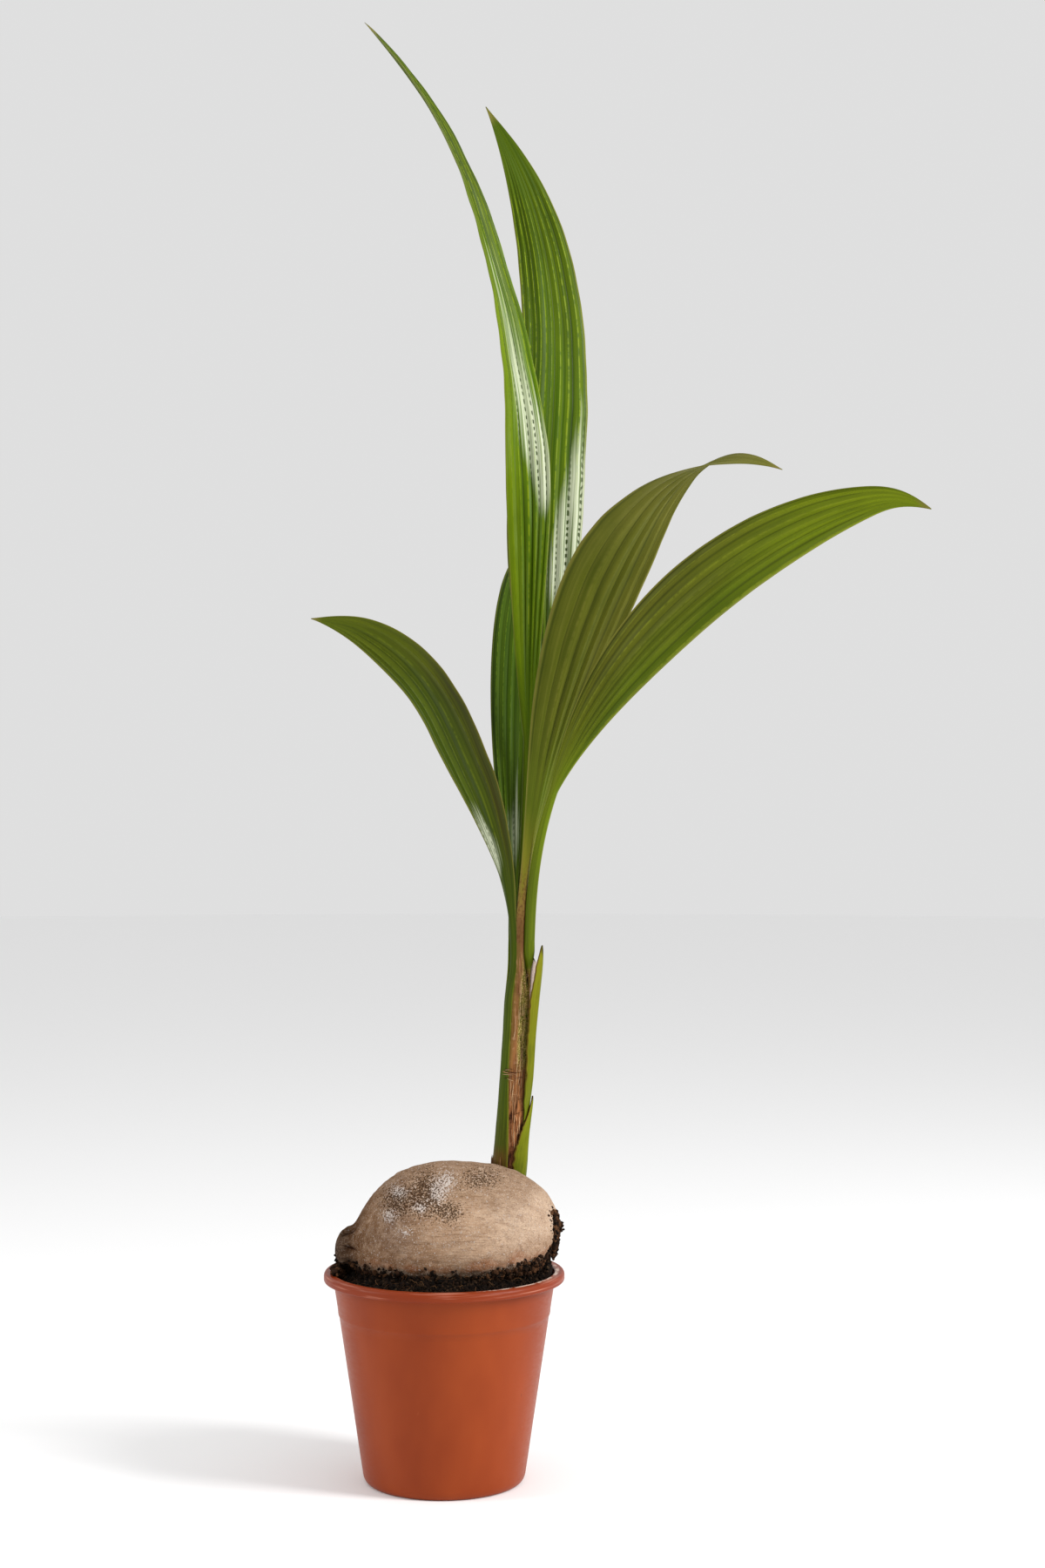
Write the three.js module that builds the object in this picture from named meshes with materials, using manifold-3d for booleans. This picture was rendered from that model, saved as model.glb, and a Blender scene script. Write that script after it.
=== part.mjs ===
// A young coconut palm, sprouted from a husked nut that lies half sunk in the soil of a round nursery pot.
// Millimetres, +Z up, +X to the right of the front view, +Y to the back. The origin is the middle of the
// pot's flat underside.
import * as THREE from 'three';
import { mergeVertices } from 'three/addons/utils/BufferGeometryUtils.js';
import Module from 'manifold-3d';

// Clearance between neighbouring pieces
const GAP = 0.3;

// Pot: a drafted wall with a rolled lip and drain holes near the edge of its floor
const POT_HEIGHT = 174;
const POT_LIP_RADIUS = 100;
const POT_LIP_HEIGHT = 7.5;
const POT_LIP_ROUND = 2.2;
const POT_LIP_EDGE = 1.2;
const POT_WALL = 1.8;
const POT_TOP_RADIUS = 93;
const POT_DRAFT = 0.15;
const POT_FOOT_RADIUS = 62;
const POT_FOOT_CORNER = 8;
const POT_CORNER_STEPS = 3;
const POT_SHOULDER_Z = 143;
const POT_SHOULDER_STEP = 0.6;
const POT_SIDES = 44;
const DRAIN_COUNT = 8;
const DRAIN_RADIUS = 4;
const DRAIN_CIRCLE = 46;
const DRAIN_SIDES = 12;

// Soil: fills the pot and is heaped against the nut
const SOIL_EDGE_Z = 168;
const SOIL_CROWN_Z = 184;
const SOIL_RINGS = 6;
const SOIL_CLODS = { height: 1.6, pitchX: 20, pitchY: 23 };
const SOIL_HEAP = { x: 84, y: -8, height: 15, spread: 18 };

// Nut: its long axis lies along X, with a blunt right end and a narrower nose at the left end
const NUT_RADIUS = 60;
const NUT_MIDDLE = new THREE.Vector3(12, 0, 202);
const NUT_RIGHT = 83;
const NUT_RIGHT_RISE = 9;
const NUT_RIGHT_CURVE = { fullness: 2.1, roundness: 0.52 };
const NUT_LEFT = 95;
const NUT_LEFT_CURVE = { fullness: 3.4, roundness: 0.87 };
const NUT_RIDGES = 3;
const NUT_RIDGE_SHARE = 0.03;
const NUT_NOSE_RADIUS = 19;
const NUT_NOSE_FACE = 11.4;
const NUT_NOSE_ROUND = 6;
const NUT_NOSE_END = 103;
const NUT_NOSE_DROP = 12;
const NUT_STATIONS = 16;
const NUT_SIDES = 30;

// Stem: the bundle of leaf sheaths leans to the right and swells at its foot
const STEM_FOOT = new THREE.Vector3(54, 25, 262);
const STEM_TOP = new THREE.Vector3(63.5, 25, 440);
const STEM_SUNK = 34;
const STEM_RADIUS = 11;
const STEM_FLARE = 2.8;
const SHEATH_THICKNESS = 2.2;
const SHEATH_GAP = 0.5;
const SHEATH_EDGE = 0.65;
const SHEATH_COLUMN = 8;
const STEM_STEPS = 10;
const STEM_SIDES = 20;
const SCALE_LEAF_POINT = { fullness: 2.2, roundness: 0.7, tip: 0.06, tipSkin: 0.4, curl: 1.4 };

// Leaves: every blade is pleated along its length and thickest at its rib
const PETIOLE_RADIUS = 3.3;
const PETIOLE_THICKNESS = 5.6;
const RIB_SHARE = 0.0105;
const MARGIN_SHARE = 0.4;
const PLEATS = 4;
const PLEAT_DEPTH = 1.4;
const TIP_RADIUS = 0.9;
const TIP_THINNING = 0.6;
const BLADE_STEPS = 8;
const RIB_STEPS = 60;

const COLOURS = {
  pot: [0xa8512c, 0.35],
  soil: [0x2a1c12, 1],
  husk: [0xa98c70, 0.9],
  fibre: [0x8a5c38, 0.95],
  stem: [0x6e7a22, 0.6],
  scale: [0x8c8f1e, 0.65],
  leaf: [0x4f7a1a, 0.5],
};

const wasm = await Module();
wasm.setup();

const palm = new THREE.Group();

function add(name, geometry, colour) {
  const [color, roughness] = COLOURS[colour];
  const mesh = new THREE.Mesh(geometry, new THREE.MeshStandardMaterial({ color, roughness, metalness: 0 }));
  mesh.name = name;
  palm.add(mesh);
}

// Moves every vertex of a geometry to the point that place(vertex) gives.
function mapped(geometry, place) {
  const position = geometry.attributes.position;
  for (let i = 0; i < position.count; i += 1) {
    const point = place(new THREE.Vector3().fromBufferAttribute(position, i));
    position.setXYZ(i, point.x, point.y, point.z);
  }
  return geometry;
}

// Booleans
function toSolid(geometry) {
  const bare = geometry.clone();
  bare.deleteAttribute('normal');
  bare.deleteAttribute('uv');
  const merged = mergeVertices(bare, 1e-3);
  const corners = merged.index.array;
  const faces = [];
  for (let i = 0; i < corners.length; i += 3) {
    const [a, b, c] = [corners[i], corners[i + 1], corners[i + 2]];
    if (a !== b && b !== c && c !== a) {
      faces.push(a, b, c);
    }
  }
  const vertProperties = Float32Array.from(merged.attributes.position.array);
  return new wasm.Manifold(new wasm.Mesh({ numProp: 3, vertProperties, triVerts: Uint32Array.from(faces) }));
}

function toGeometry(manifold) {
  const mesh = manifold.getMesh();
  const geometry = new THREE.BufferGeometry();
  geometry.setAttribute('position', new THREE.BufferAttribute(mesh.vertProperties, 3));
  geometry.setIndex(new THREE.BufferAttribute(mesh.triVerts, 1));
  return geometry;
}

function turned(profile, sides) {
  const points = profile.map(([radius, z]) => new THREE.Vector2(radius, z));
  return new THREE.LatheGeometry(points, sides).rotateX(Math.PI / 2);
}

// Pot
function potRadius(z) {
  const step = z < POT_SHOULDER_Z ? POT_SHOULDER_STEP : 0;
  return POT_TOP_RADIUS - POT_DRAFT * (POT_HEIGHT - z) - step;
}

function potProfile() {
  const lipZ = POT_HEIGHT - POT_LIP_HEIGHT;
  const underShoulder = POT_SHOULDER_Z - POT_SHOULDER_STEP;
  const heel = potRadius(POT_FOOT_CORNER);
  const mouth = potRadius(POT_HEIGHT) - POT_WALL;
  const corner = [];
  for (let i = 0; i <= POT_CORNER_STEPS; i += 1) {
    const turn = ((i / POT_CORNER_STEPS) * Math.PI) / 2;
    const radius = THREE.MathUtils.lerp(POT_FOOT_RADIUS, heel, Math.sin(turn));
    corner.push([radius, POT_FOOT_CORNER * (1 - Math.cos(turn))]);
  }
  return [
    [0, 0],
    ...corner,
    [potRadius(underShoulder), underShoulder],
    [potRadius(POT_SHOULDER_Z), POT_SHOULDER_Z],
    [potRadius(lipZ), lipZ],
    [POT_LIP_RADIUS - POT_LIP_EDGE, lipZ],
    [POT_LIP_RADIUS, lipZ + POT_LIP_EDGE],
    [POT_LIP_RADIUS, POT_HEIGHT - POT_LIP_ROUND],
    [POT_LIP_RADIUS - POT_LIP_ROUND, POT_HEIGHT],
    [mouth + POT_LIP_ROUND, POT_HEIGHT],
    [mouth, POT_HEIGHT - POT_LIP_ROUND],
    [potRadius(underShoulder) - POT_WALL, underShoulder],
    [heel - POT_WALL, POT_FOOT_CORNER],
    [POT_FOOT_RADIUS - POT_WALL, POT_WALL],
    [0, POT_WALL],
  ];
}

function makePot() {
  let pot = toSolid(turned(potProfile(), POT_SIDES));
  for (let i = 0; i < DRAIN_COUNT; i += 1) {
    const angle = ((i + 0.5) / DRAIN_COUNT) * 2 * Math.PI;
    const depth = 4 * POT_WALL;
    const drain = new THREE.CylinderGeometry(DRAIN_RADIUS, DRAIN_RADIUS, depth, DRAIN_SIDES);
    drain.rotateX(Math.PI / 2).translate(DRAIN_CIRCLE * Math.cos(angle), DRAIN_CIRCLE * Math.sin(angle), 0);
    pot = pot.subtract(toSolid(drain));
  }
  add('pot', toGeometry(pot), 'pot');
}

// Nut: the two halves are superellipses, blunter to the right, and the axis bends down to the nose
function superellipse(share, { fullness, roundness }) {
  return (1 - share ** fullness) ** roundness;
}

function nutRadius(x) {
  if (x > 0) {
    return NUT_RADIUS * superellipse(x / NUT_RIGHT, NUT_RIGHT_CURVE);
  }
  return Math.max(NUT_RADIUS * superellipse(-x / NUT_LEFT, NUT_LEFT_CURVE), NUT_NOSE_RADIUS);
}

function nutGeometry(grow) {
  const end = -NUT_NOSE_END - grow;
  const profile = [[0, end], [NUT_NOSE_FACE + grow, end], [NUT_NOSE_RADIUS + grow, end + NUT_NOSE_ROUND]];
  for (let i = 1; i < NUT_STATIONS; i += 1) {
    const turn = (i / NUT_STATIONS) * Math.PI;
    const x = -Math.cos(turn) * (Math.cos(turn) > 0 ? NUT_LEFT : NUT_RIGHT);
    profile.push([nutRadius(x) + grow, x]);
  }
  profile.push([0, NUT_RIGHT + grow]);
  const points = profile.map(([radius, x]) => new THREE.Vector2(radius, x));
  const nut = new THREE.LatheGeometry(points, NUT_SIDES).rotateZ(-Math.PI / 2);
  return mapped(nut, (p) => {
    const ridge = 1 + NUT_RIDGE_SHARE * Math.cos(NUT_RIDGES * Math.atan2(p.y, p.z));
    const lift = p.x > 0 ? NUT_RIGHT_RISE * (p.x / NUT_RIGHT) ** 2 : -NUT_NOSE_DROP * (p.x / NUT_NOSE_END) ** 2;
    return new THREE.Vector3(p.x, p.y * ridge, p.z * ridge + lift).add(NUT_MIDDLE);
  });
}

// Soil
function soilTop(x, y) {
  const share = Math.min(Math.hypot(x, y) / POT_TOP_RADIUS, 1);
  const heap = SOIL_EDGE_Z + (SOIL_CROWN_Z - SOIL_EDGE_Z) * (1 - share ** 2);
  const turnX = (2 * Math.PI * x) / SOIL_CLODS.pitchX;
  const turnY = (2 * Math.PI * y) / SOIL_CLODS.pitchY;
  const clods = SOIL_CLODS.height * Math.sin(turnX) * Math.cos(turnY) * (1 - share ** 4);
  const fromHeap = Math.hypot(x - SOIL_HEAP.x, y - SOIL_HEAP.y) / SOIL_HEAP.spread;
  return heap + clods + SOIL_HEAP.height * Math.exp(-(fromHeap ** 2));
}

function makeSoil() {
  const clear = POT_WALL + GAP;
  const profile = [
    [0, clear],
    [POT_FOOT_RADIUS - clear, clear],
    [potRadius(POT_FOOT_CORNER) - clear, POT_FOOT_CORNER],
    [potRadius(POT_SHOULDER_Z - POT_SHOULDER_STEP) - clear, POT_SHOULDER_Z - POT_SHOULDER_STEP],
  ];
  const edge = potRadius(SOIL_EDGE_Z) - clear - POT_SHOULDER_STEP;
  for (let ring = SOIL_RINGS; ring >= 0; ring -= 1) {
    profile.push([(edge * ring) / SOIL_RINGS, SOIL_EDGE_Z]);
  }
  const soil = mapped(turned(profile, POT_SIDES), (p) => {
    if (p.z >= SOIL_EDGE_Z - 0.01) {
      p.z = soilTop(p.x, p.y);
    }
    return p;
  });
  add('soil', toGeometry(toSolid(soil).subtract(toSolid(nutGeometry(GAP)))), 'soil');
}

// Stem: a point at a height, an angle round the axis and a distance from the outside of the bundle
function bundleRadius(z) {
  const rise = Math.min(Math.max((z - STEM_FOOT.z) / (STEM_TOP.z - STEM_FOOT.z), 0), 1);
  return STEM_RADIUS + STEM_FLARE * (1 - rise) ** 3;
}

function onStem(angle, stand, z) {
  const rise = (z - STEM_FOOT.z) / (STEM_TOP.z - STEM_FOOT.z);
  const radius = bundleRadius(z) + stand;
  return new THREE.Vector3(
    THREE.MathUtils.lerp(STEM_FOOT.x, STEM_TOP.x, rise) + radius * Math.cos(angle),
    STEM_FOOT.y + radius * Math.sin(angle),
    z,
  );
}

function aboveNut(geometry) {
  return toGeometry(toSolid(geometry).subtract(toSolid(nutGeometry(GAP))));
}

function makeStem() {
  const low = STEM_FOOT.z - STEM_SUNK;
  const height = STEM_TOP.z - low;
  const core = new THREE.CylinderGeometry(1, 1, height, STEM_SIDES, STEM_STEPS).rotateX(Math.PI / 2);
  mapped(core, (p) => {
    const z = low + p.z + height / 2;
    const share = Math.hypot(p.x, p.y);
    const coreRadius = bundleRadius(z) - SHEATH_THICKNESS - SHEATH_GAP;
    return onStem(Math.atan2(p.y, p.x), share * coreRadius - bundleRadius(z), z);
  });
  add('stem', aboveNut(core), 'stem');
}

// A sheath wraps the stem from one angle to another, and may end in a free point that stands off it.
function wrapGeometry({ middle, halfAngle, low, high, stand, lift, thickness, pointed }) {
  const columns = Math.ceil((2 * halfAngle) / SHEATH_COLUMN);
  const strip = new THREE.BoxGeometry(2, 2, 2, columns, 1, STEM_STEPS);
  return mapped(strip, (p) => {
    const rise = (p.z + 1) / 2;
    const narrow = pointed ? Math.max(superellipse(rise, SCALE_LEAF_POINT), SCALE_LEAF_POINT.tip) : 1;
    const angle = middle - halfAngle * narrow * p.x;
    const edge = THREE.MathUtils.lerp(1, SHEATH_EDGE, Math.abs(p.x));
    const skin = thickness * edge * THREE.MathUtils.lerp(SCALE_LEAF_POINT.tipSkin, 1, narrow);
    const out = stand + lift * rise ** SCALE_LEAF_POINT.curl + (p.y > 0 ? skin : 0);
    return onStem(THREE.MathUtils.degToRad(angle), out, low + (high - low) * rise);
  });
}

const SHEATHS = [
  { name: 'sheath_left', middle: 206, halfAngle: 38, colour: 'stem' },
  { name: 'sheath_front', middle: 278, halfAngle: 32, colour: 'fibre' },
  { name: 'sheath_right', middle: 350, halfAngle: 38, colour: 'stem' },
  { name: 'sheath_back', middle: 98, halfAngle: 68, colour: 'stem' },
];

const SCALE_LEAVES = [
  { name: 'scale_leaf_upper', middle: -14, halfAngle: 44, low: 320, high: 443, lift: 8, thickness: 1.8 },
  { name: 'scale_leaf_lower', middle: -46, halfAngle: 42, low: 236, high: 314, lift: 3.5, thickness: 1.8 },
];

function makeSheaths() {
  for (const { name, colour, ...place } of SHEATHS) {
    const wrap = { ...place, low: STEM_FOOT.z - STEM_SUNK, high: STEM_TOP.z, stand: -SHEATH_THICKNESS, lift: 0,
      thickness: SHEATH_THICKNESS, pointed: false };
    add(name, aboveNut(wrapGeometry(wrap)), colour);
  }
  for (const { name, ...place } of SCALE_LEAVES) {
    add(name, aboveNut(wrapGeometry({ ...place, stand: GAP, pointed: true })), 'scale');
  }
}

// The torn husk stands round the back of the stem's foot as a low collar.
function makeCollar() {
  const collar = { middle: 130, halfAngle: 128, low: STEM_FOOT.z - STEM_SUNK, high: STEM_FOOT.z + 2,
    stand: SHEATH_GAP, lift: 0, thickness: 3, pointed: false };
  add('collar', aboveNut(wrapGeometry(collar)), 'fibre');
}

// Leaves: lean is the angle from upright and bearing the heading seen from above, both in degrees and given at
// equal steps from the foot to the tip. Roll turns the blade about its rib and fold is the slope of its halves.
// Each leaf is cut across in two places, so that no piece bends far.
const LEAVES = [
  {
    name: 'leaf_left', foot: [56.2, 19], length: 348, width: 57,
    stalk: 0.06, rise: 1.5, fall: 1.2, splits: [0.5, 0.78],
    lean: [2, 16, 24, 29, 54, 85], bearing: [190, 190, 190],
    roll: [-30, -32, -34, -65], fold: [20, 10, 5, 0],
  },
  {
    name: 'leaf_right', foot: [71, 16.2], length: 574, width: 50,
    stalk: 0.24, rise: 1.1, fall: 0.95, splits: [0.4, 0.75],
    lean: [3, 24, 42, 55, 69, 102], bearing: [-62, -40, -34],
    roll: [36, 64, 58, 80], fold: [20, 10, 5, 0],
  },
  {
    name: 'leaf_front', foot: [63.7, 17.4], length: 523, width: 69,
    stalk: 0.1, rise: 1.8, fall: 1.3, splits: [0.5, 0.82],
    lean: [2, 16, 22, 33, 55, 115], bearing: [-50, -42, -34],
    roll: [10, 20, 22, -27], fold: [30, 20, 10, 0],
  },
  {
    name: 'leaf_centre', foot: [64, 24.5], length: 806, width: 47,
    stalk: 0.22, rise: 0.85, fall: 0.45, splits: [0.4, 0.72],
    lean: [-4, 0, 0, 9, 21, 44], bearing: [180, 184, 190],
    roll: [91, 95, 98, 42, 24, 20], fold: [20, 15, 10, 5],
  },
  {
    name: 'leaf_back', foot: [70.5, 32], length: 738, width: 75,
    stalk: 0.22, rise: 1.2, fall: 1.15, splits: [0.35, 0.7],
    lean: [3, 14, 4, -5, 9, 30], bearing: [66, 86, 155, 178],
    roll: [18, 2, 24, 74], fold: [25, 12, 8, 5],
  },
  {
    name: 'leaf_back_left', foot: [58, 31.5], length: 500, width: 41,
    stalk: 0.08, rise: 0.9, fall: 0.8, splits: [0.45, 0.78],
    lean: [3, 20, 26, 38, 60, 95], bearing: [94, 86, 76],
    roll: [0, 0, 0, 0], fold: [30, 20, 15, 10],
  },
];

// A smooth curve through values that stand at equal steps
function along(values, t) {
  const last = values.length - 1;
  const spot = Math.min(Math.max(t, 0), 1) * last;
  const i = Math.min(Math.floor(spot), last - 1);
  const [before, from, to, after] = [i - 1, i, i + 1, i + 2].map((k) => values[Math.min(Math.max(k, 0), last)]);
  const f = spot - i;
  const bend = 2 * before - 5 * from + 4 * to - after + f * (3 * (from - to) + after - before);
  return from + 0.5 * f * (to - before + f * bend);
}

function heading(leaf, t) {
  const lean = THREE.MathUtils.degToRad(along(leaf.lean, t));
  const bearing = THREE.MathUtils.degToRad(along(leaf.bearing, t));
  const tangent = new THREE.Vector3(
    Math.sin(lean) * Math.cos(bearing),
    Math.sin(lean) * Math.sin(bearing),
    Math.cos(lean),
  );
  const level = new THREE.Vector3(-Math.sin(bearing), Math.cos(bearing), 0);
  return { tangent, level };
}

// The rib's point at a share t of its length, summed along its heading in short steps
function ribPoint(leaf, t) {
  const [x, y] = leaf.foot;
  const point = new THREE.Vector3(x, y, STEM_TOP.z + GAP);
  for (let i = 0; i < RIB_STEPS; i += 1) {
    const { tangent } = heading(leaf, (t * (i + 0.5)) / RIB_STEPS);
    point.addScaledVector(tangent, (leaf.length * t) / RIB_STEPS);
  }
  return point;
}

function halfWidth(leaf, t) {
  const s = Math.min(Math.max((t - leaf.stalk) / (1 - leaf.stalk), 0), 1);
  const peak = leaf.rise / (leaf.rise + leaf.fall);
  const most = peak ** leaf.rise * (1 - peak) ** leaf.fall;
  const blade = (s ** leaf.rise * (1 - s) ** leaf.fall) / most;
  return PETIOLE_RADIUS * (1 - s) + TIP_RADIUS * s + (leaf.width / 2) * blade;
}

function bladeGeometry(leaf, from, to) {
  const columns = 2 * PLEATS;
  const blade = new THREE.BoxGeometry(2, 2, 2, columns, 1, BLADE_STEPS);
  return mapped(blade, (p) => {
    const t = from + ((to - from) * (p.z + 1)) / 2;
    const { tangent, level } = heading(leaf, t);
    const roll = THREE.MathUtils.degToRad(along(leaf.roll, t));
    const fold = THREE.MathUtils.degToRad(along(leaf.fold, t));
    const across = level.applyAxisAngle(tangent, -roll);
    const upper = new THREE.Vector3().crossVectors(tangent, across);
    const half = halfWidth(leaf, t);
    const open = Math.min(half / (leaf.width / 2), 1);
    const rib = THREE.MathUtils.lerp(PETIOLE_THICKNESS, leaf.length * RIB_SHARE, open);
    const margin = THREE.MathUtils.lerp(1, MARGIN_SHARE, Math.abs(p.x));
    const thickness = rib * margin * (1 - TIP_THINNING * t ** 6);
    const column = Math.round(((p.x + 1) / 2) * columns);
    const pleat = (column % 2 === 0 ? 0.5 : -0.5) * PLEAT_DEPTH * open;
    const up = half * Math.abs(p.x) * Math.sin(fold) + pleat + (p.y * thickness) / 2;
    return ribPoint(leaf, t).addScaledVector(across, half * p.x * Math.cos(fold)).addScaledVector(upper, up);
  });
}

function makeLeaves() {
  for (const leaf of LEAVES) {
    const [first, second] = leaf.splits;
    const joint = (0.5 * GAP) / leaf.length;
    add(`${leaf.name}_lower`, bladeGeometry(leaf, 0, first - joint), 'leaf');
    add(`${leaf.name}_middle`, bladeGeometry(leaf, first + joint, second - joint), 'leaf');
    add(`${leaf.name}_upper`, bladeGeometry(leaf, second + joint, 1), 'leaf');
  }
}

makePot();
makeSoil();
add('nut', nutGeometry(0), 'husk');
makeStem();
makeSheaths();
makeCollar();
makeLeaves();

export default palm;
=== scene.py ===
import bpy
import numpy as np
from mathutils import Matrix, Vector


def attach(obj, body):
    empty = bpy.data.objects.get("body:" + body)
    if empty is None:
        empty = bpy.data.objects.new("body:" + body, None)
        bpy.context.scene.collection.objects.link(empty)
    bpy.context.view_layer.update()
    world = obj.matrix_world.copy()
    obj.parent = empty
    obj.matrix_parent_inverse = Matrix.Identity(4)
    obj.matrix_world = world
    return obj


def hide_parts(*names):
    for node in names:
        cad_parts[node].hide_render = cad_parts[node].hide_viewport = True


MM = 0.001

CAMERA_PLACE = (65, -2070, 578)
CAMERA_LENS = 57.14
WORLD_LIGHT = 0.74
SOFTBOX = (0.6, 1.3)
LIGHT_AIM = (0.05, 0, 0.6)
FLOOR_RADIUS = 9000
FLOOR_SIDES = 64

# Pot
POT_HEIGHT = 174
POT_LIP_RADIUS = 100
POT_LIP_HEIGHT = 7.5
POT_LIP_ROUND = 2.2
POT_WALL = 1.8
POT_TOP_RADIUS = 93
POT_DRAFT = 0.15
POT_FOOT_RADIUS = 62
POT_FOOT_CORNER = 8
POT_SHOULDER_Z = 143
POT_SHOULDER_STEP = 0.3
POT_SIDES = 180
POT_MIDDLE = 0.4
DRAIN_COUNT = 8
DRAIN_RADIUS = 4
DRAIN_CIRCLE = 46
DRAIN_SIDES = 24

# Soil
SOIL_EDGE_Z = 168
SOIL_CROWN_Z = 184
SOIL_CLODS = {"height": 1.6, "pitch_x": 20, "pitch_y": 23}
SOIL_HEAP = {"x": 84, "y": -8, "height": 15, "spread": 18}
SOIL_TOP_RINGS = 60
SOIL_SIDES = 200
CRUMB_COUNT = 7600
CRUMB_SIZES = (0.4, 1.9)
CLOD_SIZES = (0.5, 2.4)
LINE_CRUMBS = 3600
HEAPS = [
    {"count": 1000, "middle": (98, -7, 187), "reach": (8, 30, 15), "off_nut": 8},
    {"count": 420, "middle": (-88, -10, 174), "reach": (6, 24, 6), "off_nut": 40},
    {"count": 760, "middle": (97, -6, 196), "reach": (8, 23, 13), "off_nut": 5},
    {"count": 520, "middle": (92, -8, 211), "reach": (8, 11, 14), "off_nut": 3},
]
# Single crumbs that cling to the skin round the heap at the right end
STRAY_CRUMBS = {"count": 90, "middle": (91, -8, 213), "reach": (9, 21, 17)}
CLING_HEIGHT = 0.9
SOIL_FIBRES = {"count": 120, "reach": 84}
STRAND_SIDES = 5
# Height that the soil reaches on the nut, at places along it
SOIL_LINE = ((-95, 182), (-54, 183), (-22, 181), (24, 182), (58, 187), (80, 191), (98, 198))

# Nut
NUT_RADIUS = 60
NUT_MIDDLE = np.array([12, 0, 202])
NUT_RIGHT = 83
NUT_RIGHT_RISE = 9
NUT_LEFT = 95
NUT_RIDGE_SHARE = 0.03
NUT_NOSE_RADIUS = 19
NUT_NOSE_END = 103
NUT_NOSE_DROP = 12
NUT_NECK = 0.4
NUT_RIGHT_CURVE = (2.1, 0.52)
NUT_LEFT_CURVE = (3.4, 0.87)
NUT_SIDES = 220

# Stem
STEM_FOOT = np.array([54, 25, 262])
STEM_TOP = np.array([63.5, 25, 440])
STEM_RADIUS = 11
STEM_FLARE = 2.8
SHEATH_THICKNESS = 2.2
SHEATH_SUNK = 24
HEART_WALL = 3
# Width that a degree round the stem gets in the patterns
DEGREE_WIDTH = 0.2
PETIOLE_STARTS_Z = 395
SHEATH_END_Z = 461
SHEATH_MOUTH = (1.05, 0.93)
COLLAR_COUNT = 150
TORN_COUNTS = (12, 110)

# Leaves
PETIOLE_RADIUS = 3.3
PETIOLE_THICKNESS = 5.6
PETIOLE_EDGE = 0.15
CLASP_SHARE = 0.3
TIP_RADIUS = 0.35
LAMINA = 0.6
RIB_DEPTH = 1.6
RIB_WIDTH = 1.7
RIB_STEPS = 600
BLADE_GRAIN = 4.2
PLEAT_DEPTH = 1.25
PLEAT_WIDTHS = (0.42, 1.75)
PLEAT_DEPTHS = (0.15, 1.45)
VEINS_A_PLEAT = 7
BEAD_PITCH = 6.5
ROW_PITCH = 3.2
FACET_STEPS = (-0.38, 0, 0.38, 0.5)
GAP = 0.3

rng = np.random.default_rng(7)


# Numbers and colours
def srgb(text):
    """Linear red, green and blue of a colour written as six hex digits."""
    shown = np.array([int(text[i : i + 2], 16) for i in (0, 2, 4)]) / 255
    return np.where(shown <= 0.04045, shown / 12.92, ((shown + 0.055) / 1.055) ** 2.4)


def linear(colour):
    """A colour's linear parts, from six hex digits or as they are."""
    return srgb(colour) if isinstance(colour, str) else colour


def palette(texts):
    return np.array([srgb(text) for text in texts])


def lerp(a, b, share):
    return a + (b - a) * share


def smooth(low, high, value):
    """0 below low, 1 above high, and an even curve between them."""
    share = np.clip((value - low) / (high - low), 0, 1)
    return share * share * (3 - 2 * share)


def mix(a, b, share):
    """Colours between a and b, one for each share."""
    return a + (b - a) * np.asarray(share)[..., None]


def hill(*offs):
    """1 where every offset is 0, and less the further off it is."""
    return np.exp(sum(-(off**2) for off in offs))


def layered(tint, *layers):
    """Lays colours over tint one after another, each with its share at every point."""
    for colour, share in layers:
        tint = mix(tint, srgb(colour), share)
    return tint


def keyed(value, stops):
    """A colour along a scale of stops, each a number and a colour in hex."""
    places = [stop for stop, _ in stops]
    colours = np.array([srgb(text) for _, text in stops])
    return np.stack([np.interp(value, places, colours[:, k]) for k in range(3)], axis=-1)


def stacked(*parts):
    """Points or coordinates from their parts, each an array or a number."""
    return np.stack(np.broadcast_arrays(*parts), axis=-1)


def around(radius, turn, height):
    """Points at a radius and an angle round the Z axis."""
    return stacked(radius * np.cos(turn), radius * np.sin(turn), height)


def ripples(points, size, seed, waves=24):
    """Smooth noise between about -1 and 1 whose bumps are about size across."""
    dice = np.random.default_rng(seed)
    ways = dice.normal(size=(waves, 3))
    ways /= np.linalg.norm(ways, axis=1)[:, None]
    pitch = size * dice.uniform(1.2, 3.2, waves)
    phase = dice.uniform(0, 2 * np.pi, waves)
    turns = 2 * np.pi * (np.asarray(points, float) @ (ways / pitch[:, None]).T) + phase
    return np.sin(turns).sum(axis=-1) / np.sqrt(2 * waves)


# Meshes
def net(rows, loop):
    """Faces of a closed tube of rows, each row a loop of points, with a cap at each end."""
    i = np.arange(rows - 1)[:, None] * loop
    j = np.arange(loop)[None, :]
    k = (j + 1) % loop
    quads = np.stack([i + j, i + k, i + loop + k, i + loop + j], axis=-1).reshape(-1, 4)
    return quads.tolist() + [list(range(loop))[::-1], list(range((rows - 1) * loop, rows * loop))]


def repeated(faces, count, corners):
    """Faces for count copies of a mesh that has so many corners."""
    return [[v + i * corners for v in face] for i in range(count) for face in faces]


def placed(name, data):
    """A new object, linked to the scene."""
    made = bpy.data.objects.new(name, data)
    bpy.context.scene.collection.objects.link(made)
    return made


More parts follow.
